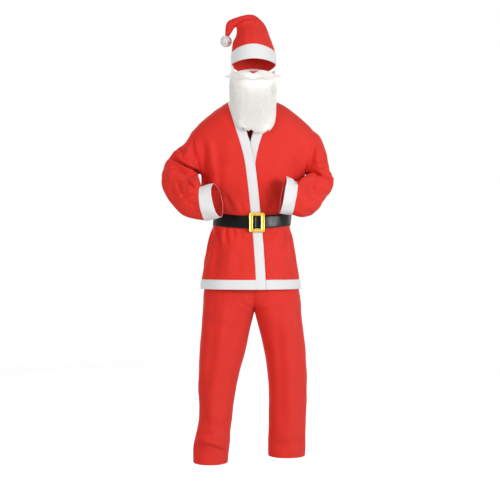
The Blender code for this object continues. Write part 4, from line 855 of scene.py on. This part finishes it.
def back_half(side):
    """Half of the back's points: columns run from the middle, under the neck, to the side or armhole."""
    line = shoulder_line(side)
    nape = smooth(BACK_MIDDLE, SHOULDER_ROW)
    bend = np.linspace(0, math.pi / 2, NAPE_POINTS)[:-1]
    neck = np.stack([line[0][0] * np.sin(bend), line[0][1] + (nape.y - line[0][1]) * np.cos(bend),
                     nape.z + (line[0][2] - nape.z) * np.sin(bend) ** 2], axis=1)
    top = np.concatenate((neck, line))
    lengths = distances(top)
    corner = lengths[len(neck)]
    stops = np.concatenate((
        np.linspace(0, corner, BACK_NECK_COLUMNS + 1),
        np.linspace(corner, corner + FRONT_TRIM_WIDTH, TRIM_COLUMNS + 1)[1:],
        np.linspace(corner + FRONT_TRIM_WIDTH, lengths[-1], FRONT_COLUMNS + 1)[1:])) / lengths[-1]
    even = np.linspace(0, 1, len(stops))
    top = along(top, stops * lengths[-1])
    rows = []
    for row in JACKET_ROWS:
        share = ease((row - UNDERARM_ROW) / (SHOULDER_ROW - UNDERARM_ROW))
        fractions = even + (stops - even) * share
        curve = body_row(side, min(row, YOKE_ROW), BACKWARD)
        points = along(curve, fractions * distances(curve)[-1])
        if row > YOKE_ROW:
            rise = (row - YOKE_ROW) / (SHOULDER_ROW - YOKE_ROW)
            points = points + (top - points) * rise
            middle = smooth(BACK_MIDDLE, row)
            to_middle = np.array([points[0][0], middle.y, middle.z]) - points[0]
            to_end = body_side(side, row, BACKWARD) - points[-1]
            points += np.outer((1 - even) ** YOKE_PULL, to_middle) + np.outer(even**YOKE_PULL, to_end)
        rows.append(points)
    return np.array(rows)


def sleeve_grid(side, table):
    """A sleeve's points: rings from the armhole, round the elbow, to the open cuff."""
    rows = [row for row in JACKET_ROWS if row >= UNDERARM_ROW]
    loop = [armhole(side, row, FORWARD) for row in rows[::-1]]
    loop += [armhole(side, row, BACKWARD) for row in rows[1:-1]]
    rings = [loop]
    for ring in table:
        outer = np.array([ring.outer_x, ring.y, ring.outer_z])
        inner = np.array([ring.inner_x, ring.y, ring.inner_z])
        far = np.array([-side * ring.slant, 1.0, 0.0]) * ring.half_depth
        turn = np.linspace(0, 2 * math.pi, len(loop), endpoint=False)
        rings.append((outer + inner) / 2 + np.outer(np.cos(turn), outer - inner) / 2
                     - np.outer(np.sin(turn), far))
    return np.array(rings)


def shape_jacket():
    """The jacket's grids and normals: right front, left front, back, right sleeve, left sleeve."""
    back = np.concatenate((back_half(LEFT)[:, ::-1], back_half(RIGHT)[:, 1:]), axis=1)
    grids = [front_grid(RIGHT, RIGHT_FRONT_EDGE, OVERLAP_LIFT), front_grid(LEFT, LEFT_FRONT_EDGE, 0.0), back]
    sags = [JACKET_SAG] * len(grids)
    for side, table in ((RIGHT, RIGHT_SLEEVE), (LEFT, LEFT_SLEEVE)):
        grid = lengthwise(sleeve_grid(side, table), SLEEVE_STEPS)
        grids.append(np.concatenate((grid, grid[:, :1]), axis=1))
        sags.append(JACKET_SAG + SLEEVE_SAG * ease(np.linspace(0, 1 / SLEEVE_SAG_LENGTH, len(grid))))
    creases = [JACKET_CREASES] * 3 + [SLEEVE_CREASES] * 2
    seams = [("last", "top")] * 2 + [("first", "last", "top")] + [("bottom",)] * 2
    return worn(grids, [RIGHT, LEFT, 1.0, RIGHT, LEFT], JACKET_FOLDS, sags, JACKET_SAG_SIZE, creases, seams)


def build_jacket(red, white):
    """The jacket's felt, its white trims and their sewing."""
    grids, normals = shape_jacket()
    for part, grid, outward in zip(("front_right", "front_left", "back"), grids, normals):
        cloth("jacket_" + part, grid, outward, FELT, red)
    hem, lines = JACKET_ROWS.index(HEM_TRIM_ROW) + 1, []
    for side, grid, outward in zip(("right", "left"), grids, normals):
        front, part = ["jacket_front_" + side], slice(0, TRIM_COLUMNS + 1)
        lines += trim("front_band_" + side, grid[:, part], outward[:, part], white, ("first", "last"))
        part = slice(TRIM_COLUMNS, None)
        lines += trim("hem_band_" + side, grid[:hem, part], outward[:hem, part], white)
    back, behind = grids[2], normals[2]
    lines += trim("hem_band_back", back[:hem], behind[:hem], white)
    middle, reach = back.shape[1] // 2, BACK_NECK_COLUMNS + TRIM_COLUMNS
    neck = slice(JACKET_ROWS.index(BACK_NECK_ROW), None), slice(middle - reach, middle + reach + 1)
    trim("neck_band", back[neck], behind[neck], white)
    for side, grid, outward in zip(("right", "left"), grids[3:], normals[3:]):
        grid, outward = grid[:, :-1], outward[:, :-1]
        cloth("sleeve_" + side, grid, outward, FELT, red, closed=True)
        end = slice(-CUFF_RINGS * SLEEVE_STEPS - 1, None)
        lines += trim("cuff_" + side, grid[end], outward[end], white, closed=True)
    stitched("jacket_stitches", lines, white)


# ---------------------------------------------------------------- trousers
def leg_curve(side, facing, z):
    """The front or back half of a leg's section, from the outer seam to the inner or middle seam."""
    leg = smooth(LEGS[side], z)
    middle = CROTCH_X * ease((CROTCH_TOP_Z - z) / (CROTCH_TOP_Z - CROTCH_Z))
    inner = middle if abs(z - CROTCH_Z) * SAME_TO < 1 else leg.inner
    centre, half = (leg.outer + inner) / 2, abs(leg.outer - inner) / 2
    end = math.pi
    if z > CROTCH_Z:
        ratio = max(-1.0, min(1.0, side * (middle - centre) / half))
        end = math.acos(math.copysign(abs(ratio) ** (1 / ROUNDNESS), ratio))
    turn = np.linspace(0, end, LEG_SECTION_POINTS)
    cos, sin = np.cos(turn), np.sin(turn)
    x = centre + side * half * np.sign(cos) * np.abs(cos) ** ROUNDNESS
    y = leg.y + facing * (leg.front if facing == FORWARD else leg.back) * np.abs(sin) ** ROUNDNESS
    return np.stack([x, y, np.full_like(x, z)], axis=1)


def leg_half(side, facing):
    """The front or back half of one leg; above the crotch it meets the other leg's half in the middle."""
    foot, top = LEGS[side][0].z, LEGS[side][-1].z
    levels = [foot + (CROTCH_Z - foot) * (k / LEG_ROWS) ** FOOT_CROWDING for k in range(LEG_ROWS + 1)]
    levels += [CROTCH_Z + (top - CROTCH_Z) * (k / SPLIT_ROWS) ** SPLIT_CROWDING
               for k in range(1, SPLIT_ROWS + 1)]
    rows = []
    for z in levels:
        curve = leg_curve(side, facing, z)
        if z > CROTCH_Z:
            meeting_y = (curve[-1][1] + leg_curve(-side, facing, z)[-1][1]) / 2
            curve[:, 1] += (meeting_y - curve[-1][1]) * np.linspace(0, 1, len(curve)) ** 2
        rows.append(along(curve, np.linspace(0, distances(curve)[-1], TROUSER_COLUMNS + 1)))
    return np.array(rows)


def build_trousers(red):
    """The trousers' felt and the sewing of their hems."""
    nodes, grids, signs = [], [], []
    for side, word in ((RIGHT, "right"), (LEFT, "left")):
        for facing, panel in ((FORWARD, "front"), (BACKWARD, "back")):
            nodes.append("trouser_%s_%s" % (panel, word))
            grids.append(leg_half(side, facing))
            signs.append(side * facing)
    count, lines = len(grids), []
    grids, normals = worn(grids, signs, TROUSER_FOLDS, [TROUSER_SAG] * count, TROUSER_SAG_SIZE,
                          [TROUSER_CREASES] * count, [("first", "last")] * count)
    for node, grid, outward in zip(nodes, grids, normals):
        cloth(node, grid, outward, FELT, red)
        lines += sewing(grid, outward, FELT, ("bottom",), TROUSER_HEM)
    stitched("trouser_stitches", lines, red)


# ---------------------------------------------------------------- belt
def belt_row(row):
    """The belt's run at one height, from its start under the buckle round the body to its end."""
    left = body_row(LEFT, row, FORWARD, BELT_LIFT, beyond=BEYOND_MIDDLE)
    right = body_row(RIGHT, row, FORWARD, BELT_LIFT, beyond=BEYOND_MIDDLE)
    left = left[left[:, 0] >= BELT_START_X]
    right = right[right[:, 0] <= BELT_END_X]
    under = ease((right[:, 0] - BELT_START_X + BELT_STEP_START) / BELT_STEP_LENGTH)
    right[:, 1] -= (BELT_SKIN + BAR_SKIN + 2 * SEAM) * under
    quarters = (left, body_row(LEFT, row, BACKWARD)[::-1], body_row(RIGHT, row, BACKWARD), right[::-1])
    run = [along(curve, np.linspace(0, distances(curve)[-1], BELT_COLUMNS + 1)) for curve in quarters]
    return np.concatenate([run[0]] + [points[1:] for points in run[1:]])


def build_belt(vinyl, gold):
    """The strap, and the frame and the bar of its buckle."""
    bottom, top = belt_row(BELT_BOTTOM_ROW), belt_row(BELT_TOP_ROW)
    share = np.linspace(0, 1, BELT_ROWS + 1)[:, None, None]
    strap = bottom * (1 - share) + top * share
    outward = shared_normals([strap], [1.0])[0]
    rolled = BELT_SKIN * (BELT_EDGE + BELT_MIDDLE * np.sin(np.pi * share[..., 0]) ** BELT_ROLL)
    shell("belt_strap_vinyl", "belt_strap", uneven(strap, outward, BELT_SAG_SIZE, BELT_SAG), outward, rolled,
          vinyl, FELT + BELT_GAP)

    cos, sin = math.cos(BUCKLE_TURN), math.sin(BUCKLE_TURN)
    turn = np.array([[cos, sin, 0], [-sin, cos, 0], [0, 0, 1]])
    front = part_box("belt_buckle")[0][1] + sin * BUCKLE_WIDTH / 2
    seat = np.array([BUCKLE_X, front + BUCKLE_SKIN, BUCKLE_Z])
    outer = rounded_outline(BUCKLE_WIDTH, BUCKLE_HEIGHT, BUCKLE_CORNER)
    inner = rounded_outline(BUCKLE_HOLE_WIDTH, BUCKLE_HOLE_HEIGHT, HOLE_CORNER)
    rings = [outer * (1 - step.across) + inner * step.across - (0, step.height * BUCKLE_SKIN, 0)
             for step in BUCKLE_PROFILE]
    solid("belt_buckle_frame", "belt_buckle", np.concatenate(rings) @ turn + seat,
          lofted(len(rings), len(outer), joined=True), gold)

    # The strap is folded over the bar, so it shows as vinyl
    outline = rounded_outline(BAR_WIDTH, BUCKLE_HOLE_HEIGHT + BAR_BEHIND, BAR_CORNER) + (BAR_X, 0, 0)
    depth = BELT_SKIN + BAR_SKIN + 2 * SEAM
    verts = np.concatenate([outline + (0, depth, 0), outline + (0, depth - BAR_SKIN, 0)]) @ turn + seat
    solid("belt_buckle_bar", "belt_buckle", verts, lofted(2, len(outline)), vinyl)


def rounded_outline(width, height, radius):
    """A rectangle with round corners in the XZ plane, as a ring of points."""
    points = []
    for corner, (sx, sz) in enumerate(((1, 1), (-1, 1), (-1, -1), (1, -1))):
        for k in range(CORNER_STEPS + 1):
            angle = math.pi / 2 * (corner + k / CORNER_STEPS)
            points.append((sx * (width / 2 - radius) + radius * math.cos(angle), 0,
                           sz * (height / 2 - radius) + radius * math.sin(angle)))
    return np.array(points)


# ---------------------------------------------------------------- hat
def hat_grid():
    """The hat's points: rings from its brim to the tip of its tail."""
    Step = namedtuple("Step", ("step",) + Ring._fields)
    table = [Step(step, *ring) for step, ring in enumerate(HAT_RINGS)]
    angles = np.linspace(0, 2 * math.pi, HAT_COLUMNS, endpoint=False)
    across, deep = np.cos(angles), np.sin(angles)
    rings = []
    for step in np.concatenate((np.linspace(0, 1, HAT_BAND_STEPS + 1),
                                np.linspace(1, len(table) - 1, (len(table) - 2) * HAT_STEPS + 1)[1:])):
        ring = smooth(table, step)
        x = (ring.left_x + ring.right_x) / 2 + across * (ring.left_x - ring.right_x) / 2
        z = (ring.left_z + ring.right_z) / 2 + across * (ring.left_z - ring.right_z) / 2
        z = z + np.where(deep < 0, ring.rise * deep**2, -ring.drop * deep**2)
        rings.append(np.stack([x, np.where(deep < 0, ring.front, ring.back) * deep, z], axis=1))
    return np.array(rings)


def build_hat(red, white, fur):
    """The hat's felt, its white band with the sewing, and the pompom."""
    grid = hat_grid()
    grid = np.concatenate((grid, grid[:, :1]), axis=1)
    outward = shared_normals([grid], [1.0])[0]
    grid = creased(uneven(grid, outward, HAT_SAG_SIZE, HAT_SAG), outward, HAT_CREASES)
    grid[:, -1] = grid[:, 0]
    outward = shared_normals([grid], [1.0])[0]
    halves = [dipped(grid[:, part], outward[:, part], ("first", "last"))
              for part in (slice(0, HAT_COLUMNS // 2 + 1), slice(HAT_COLUMNS // 2, None))]
    for node, part, normal in zip(("hat_back", "hat_front"), halves, shared_normals(halves, [1.0, 1.0])):
        cloth(node, part, normal, FELT, red)
    band = slice(0, HAT_BAND_STEPS + 1), slice(0, -1)
    lines = trim("hat_band", grid[band], outward[band], white, closed=True)
    stitched("hat_stitches", lines, white)

    rng = np.random.default_rng(POMPOM_SEED)
    ball = unit(rng.normal(size=(POMPOM_FIBRES, 3)))
    reach = rng.uniform(POMPOM_SHORT, POMPOM_LONG, POMPOM_FIBRES)[:, None, None]
    swept = unit(ball + POMPOM_SWEEP * rng.normal(size=ball.shape))
    steps = np.linspace(0, 1, POMPOM_POINTS)[None, :, None]
    lying = unit(ball[:, None] + (swept - ball)[:, None] * steps)
    paths = lying * POMPOM_RADIUS * (POMPOM_ROOT + (reach - POMPOM_ROOT) * steps) + POMPOM_CENTRE
    strands("pompom_fibres", "hat_pompom", paths, POMPOM_WIDTHS, fur)
    core = made_by(bmesh.ops.create_icosphere, "pompom_core", subdivisions=4,
                   radius=POMPOM_RADIUS * POMPOM_BALL, matrix=Matrix.Translation(POMPOM_CENTRE))
    placed(core, "hat_pompom", fur)


# ---------------------------------------------------------------- beard
def beard_points(turn, down, out):
    """Points of the beard: `out` is 0 on its inner side and 1 on the tips of its fibres."""
    brim = smooth(BEARD_OUTLINE, turn)
    z = brim.top + (brim.bottom - brim.top) * down
    fur = smooth(BEARD, z)
    angle = turn * math.pi / 2
    sin, cos = np.sin(angle), np.abs(np.cos(angle))
    y = fur.side_y + (fur.front - fur.side_y) * cos**JAW_ROUNDNESS + BEARD_SEAT * ease(down)
    points = np.stack([fur.middle + fur.half_width * sin, y, z], axis=-1)
    away = unit(np.stack([sin, -cos - FALL_LEAN, np.full_like(sin, FALL_RISE)], axis=-1))
    return points + away * (fur.skin * out)[..., None]


def lip_points(x, angle, out):
    """Points round the moustache: `out` is 1 on its surface."""
    lip = smooth(MOUSTACHE, x)
    return np.stack([x, lip.y + MOUSTACHE_SEAT - out * lip.half_depth * np.cos(angle),
                     lip.z + out * lip.half_height * np.sin(angle)], axis=-1)


def build_beard(fur, white):
    """The beard and the moustache, each a mass with loose fibres on it, and the elastic."""
    down, turn = np.meshgrid(np.linspace(1, 0, BEARD_ROWS), np.linspace(-1, 1, BEARD_ROWS), indexing="ij")
    points = beard_points(turn, down, np.zeros_like(turn))
    thick = np.linalg.norm(beard_points(turn, down, np.full_like(turn, MASS_SHARE)) - points, axis=-1)
    shell("beard_mass", "beard", points, shared_normals([points], [1.0])[0], thick, fur)

    rng = np.random.default_rng(BEARD_SEED)
    steps = np.linspace(0, 1, FIBRE_POINTS)

    def draw(low, high, count=BEARD_FIBRES):
        return rng.uniform(low, high, (count, 1))

    def lifting(lift):
        return FIBRE_START + (lift - FIBRE_START) * np.sqrt(steps)

    start, down = draw(-1, 1), draw(0, 1) ** FIBRES_DOWN
    sway, curl, lift = rng.normal(0, FIBRE_SWAY, start.shape), draw(0, 2 * math.pi), draw(*FIBRE_LIFT)
    sway = sway + LOCK_SWAY * np.sin(LOCKS * start + LOCK_SLANT * down)
    turn = start + sway * steps + CURL_SWAY * np.sin(curl + CURL * steps)
    ragged = RAGGED + sum(height * np.sin(times * start + at) for height, times, at in RAGGED_WAVES)
    place = np.minimum(down + draw(*FIBRE_LENGTH) * steps, ragged + draw(*RAGGED_RANGE))
    paths = beard_points(np.clip(turn, -BRIM_LIMIT, BRIM_LIMIT), place, lifting(lift))
    strands("beard_fibres", "beard", paths, FIBRE_WIDTHS, fur)

    x, angle = np.meshgrid(np.linspace(MOUSTACHE[0].x, MOUSTACHE[-1].x, LIP_STATIONS),
                           np.linspace(0, 2 * math.pi, LIP_SIDES, endpoint=False), indexing="ij")
    rings = lip_points(x, angle, np.full_like(x, MASS_SHARE))
    solid("moustache_mass", "moustache", rings.reshape(-1, 3), lofted(*x.shape), fur)
    count = MOUSTACHE_FIBRES
    side = np.where(draw(0, 1, count) < 0.5, -1, 1)
    x = side * np.minimum(draw(*LIP_START, count) + draw(*LIP_LENGTH, count) * steps, LIP_END)
    angle = draw(0, 2 * math.pi, count) + rng.normal(0, LIP_TWIST, side.shape) * steps
    paths = lip_points(x, angle, lifting(draw(*LIP_LIFT, count)))
    strands("moustache_fibres", "moustache", paths, FIBRE_WIDTHS * LIP_FIBRE_WIDTH, fur)

    turn = np.linspace(ELASTIC_START, math.pi - ELASTIC_START, ELASTIC_COLUMNS + 1)
    lower = np.stack([ELASTIC_HALF_WIDTH * np.cos(turn), ELASTIC_DEPTH * np.sin(turn),
                      ELASTIC_Z + ELASTIC_RISE * np.maximum(np.sin(turn), 0) ** 2], axis=1)
    band = np.array([lower + (0, 0, rise) for rise in np.linspace(0, ELASTIC_HEIGHT, ELASTIC_ROWS + 1)])
    outward = shared_normals([band], [1.0])[0]
    shell("beard_elastic_band", "beard_elastic", band, outward, ELASTIC_SKIN, white)


# ---------------------------------------------------------------- materials
def feed(tree, node, inputs):
    """Sets sockets of a node: each to a value, or to a link where the value is another node's output."""
    for key, value in inputs.items():
        socket = node.inputs[key]
        if isinstance(value, bpy.types.NodeSocket):
            tree.links.new(value, socket)
        else:
            socket.default_value = (*value, 1.0) if socket.type == "RGBA" else value
    return node


def added(tree, kind, inputs):
    """A new shader node with its sockets set."""
    return feed(tree, tree.nodes.new("ShaderNode" + kind), inputs)


def material_of(name, inputs):
    """A new material with its tree and its shader."""
    material = bpy.data.materials.new(name)
    material.use_nodes = True
    tree = material.node_tree
    return material, tree, feed(tree, tree.nodes["Principled BSDF"], inputs)


def noise_of(tree, grain, stretch=EVEN):
    """Noise in the piece's own coordinates, with the scale and detail of `grain`."""
    place = tree.nodes.new("ShaderNodeTexCoord").outputs["Object"]
    mapping = added(tree, "Mapping", {"Vector": place, "Scale": stretch})
    inputs = {"Vector": mapping.outputs["Vector"], "Scale": grain.scale, "Detail": grain.detail}
    return added(tree, "TexNoise", inputs).outputs["Fac"]


def spread(tree, value, low, high, start=NOISE_LOW, end=NOISE_HIGH):
    """A value between `low` and `high` as the given one goes from `start` to `end`."""
    inputs = {"Value": value, "From Min": start, "From Max": end, "To Min": low, "To Max": high}
    return added(tree, "MapRange", inputs).outputs["Result"]


def shifted(tree, shift, stretch=EVEN):
    """A value that varies with noise between the two of `shift`."""
    return spread(tree, noise_of(tree, shift, stretch), shift.low, shift.high)


def mixed(tree, factor, first, second):
    """A mix of two colours."""
    mix = tree.nodes.new("ShaderNodeMix")
    mix.data_type = "RGBA"
    return feed(tree, mix, {0: factor, 6: first, 7: second}).outputs[2]


def bumps(tree, grains, stretch=EVEN):
    """The normals of bumps on bumps."""
    below = {}
    for grain in grains:
        height = noise_of(tree, grain, stretch)
        bump = added(tree, "Bump", {"Height": height, "Strength": grain.strength, "Distance": grain.height,
                                    **below})
        below = {"Normal": bump.outputs["Normal"]}
    return below


def felt_of(name, felt):
    """Brushed felt: matted fibres, faint mottling and a soft sheen at grazing angles."""
    material, tree, shader = material_of(name, {
        "Base Color": felt.colour, "Roughness": 0.92, "Sheen Weight": felt.sheen, "Sheen Roughness": 0.45,
        "Sheen Tint": felt.tint, "Specular IOR Level": 0.15})
    cloudy = mixed(tree, shifted(tree, FELT_MOTTLE), felt.colour, felt.deep)
    matted = mixed(tree, shifted(tree, FELT_MATTING), cloudy, felt.deep)
    feed(tree, shader, {"Base Color": matted, **bumps(tree, FELT_GRAIN)})
    return material


def fibre_of(name):
    """Long, fine synthetic fibre, streaked along its fall."""
    material, tree, shader = material_of(name, {"Base Color": IVORY, "Roughness": 0.75, "Sheen Weight": 0.2})
    streaked = mixed(tree, shifted(tree, FIBRE_STREAKS, FALLING), IVORY, DEEP_IVORY)
    feed(tree, shader, {"Base Color": streaked, **bumps(tree, FIBRE_GRAIN, FALLING)})
    return material


def vinyl_of(name):
    """Black vinyl with a fine grain, glossier in places."""
    material, tree, shader = material_of(name, {"Base Color": BLACK, "Specular IOR Level": 0.17})
    tone = mixed(tree, noise_of(tree, VINYL_TONE), BLACK_DARK, BLACK_PALE)
    feed(tree, shader, {"Base Color": tone, "Roughness": shifted(tree, VINYL_SHINE),
                        **bumps(tree, VINYL_GRAIN)})
    return material


def gold_of(name):
    """Gilded plastic, faintly worn."""
    material, tree, shader = material_of(name, {"Base Color": GOLD, "Metallic": 0.75})
    tone = mixed(tree, noise_of(tree, GOLD_TONE), GOLD_PALE, GOLD_DEEP)
    feed(tree, shader, {"Base Color": tone, "Roughness": shifted(tree, GOLD_SHINE),
                        **bumps(tree, GOLD_GRAIN)})
    return material


# ---------------------------------------------------------------- stage
def build_backdrop():
    """A white sphere round it all, which only the camera sees."""
    mesh = made_by(bmesh.ops.create_icosphere, "backdrop", subdivisions=3, radius=BACKDROP_RADIUS)
    material, tree, _ = material_of("white_backdrop", {})
    glow = added(tree, "Emission", {"Color": PURE_WHITE})
    feed(tree, tree.nodes["Material Output"], {"Surface": glow.outputs[0]})
    mesh.materials.append(material)
    backdrop = linked("backdrop", mesh)
    backdrop.visible_diffuse = backdrop.visible_glossy = backdrop.visible_shadow = False
    backdrop.visible_transmission = backdrop.visible_volume_scatter = False


def build_floor():
    """A pale disc that fades out towards its edge."""
    mesh = made_by(bmesh.ops.create_circle, "floor", cap_ends=True, radius=FLOOR_RADIUS, segments=128)
    floor = linked("floor", mesh)
    floor.location = (0, 0, FLOOR_Z)
    floor.visible_diffuse = False
    material, tree, shader = material_of("pale_floor", {
        "Base Color": FLOOR_COLOUR, "Roughness": 0.9, "Emission Color": PURE_WHITE,
        "Emission Strength": FLOOR_GLOW})
    away = tree.nodes.new("ShaderNodeVectorMath")
    away.operation = "LENGTH"
    feed(tree, away, {0: tree.nodes.new("ShaderNodeTexCoord").outputs["Object"]})
    share = spread(tree, away.outputs["Value"], 0.0, 1.0, FLOOR_FADE_START, FLOOR_FADE_END)
    clear = tree.nodes.new("ShaderNodeBsdfTransparent").outputs[0]
    mix = added(tree, "MixShader", {0: share, 1: shader.outputs[0], 2: clear})
    feed(tree, tree.nodes["Material Output"], {"Surface": mix.outputs[0]})
    mesh.materials.append(material)


def build_world():
    """A studio with bright walls, a darker ceiling and a bright ground."""
    world = bpy.data.worlds.new("studio")
    world.use_nodes = True
    tree = world.node_tree
    place = tree.nodes.new("ShaderNodeTexCoord").outputs["Generated"]
    height = added(tree, "SeparateXYZ", {"Vector": place}).outputs["Z"]
    above = spread(tree, height, HORIZON_LIGHT, SKY_LIGHT, WALL_END, SKY_START)
    below = spread(tree, height, GROUND_LIGHT, HORIZON_LIGHT, GROUND_END, WALL_START)
    lesser = tree.nodes.new("ShaderNodeMath")
    lesser.operation = "MINIMUM"
    feed(tree, lesser, {0: above, 1: below})
    feed(tree, tree.nodes["Background"], {"Strength": lesser.outputs[0], "Color": PURE_WHITE})
    bpy.context.scene.world = world


def build_stage():
    """The floor, the backdrop, the studio's light and its lamps."""
    build_floor()
    build_backdrop()
    build_world()
    for lamp in LAMPS:
        light = bpy.data.lights.new(lamp.name, "AREA")
        light.energy = lamp.watts
        light.shape = "RECTANGLE"
        light.size, light.size_y = lamp.width, lamp.height
        light.color = LAMP_COLOUR
        holder = linked(lamp.name, light)
        holder.location = (lamp.x, lamp.y, lamp.z)
        holder.visible_glossy, holder.visible_diffuse = lamp.shines, lamp.lights
        holder.rotation_euler = (AIM - holder.location).to_track_quat("-Z", "Y").to_euler()


def build_camera():
    """The photo's view, level and from the front."""
    data = bpy.data.cameras.new("camera")
    data.lens = CAMERA_LENS
    data.sensor_width = CAMERA_SENSOR
    camera = linked("camera", data)
    camera.location = (CAMERA_X, -CAMERA_DISTANCE, CAMERA_Z)
    camera.rotation_euler = (math.radians(90), 0, 0)
    bpy.context.scene.camera = camera
    bpy.context.scene.view_settings.view_transform = "Standard"


def main():
    """Builds the suit and its stage."""
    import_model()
    red, white = felt_of("red_brushed_felt", RED_FELT), felt_of("white_brushed_felt", WHITE_FELT)
    fur = fibre_of("ivory_fibre")
    build_jacket(red, white)
    build_trousers(red)
    build_belt(vinyl_of("black_vinyl_grain"), gold_of("gold_moulding"))
    build_hat(red, white, fur)
    build_beard(fur, white)
    build_stage()
    build_camera()


main()
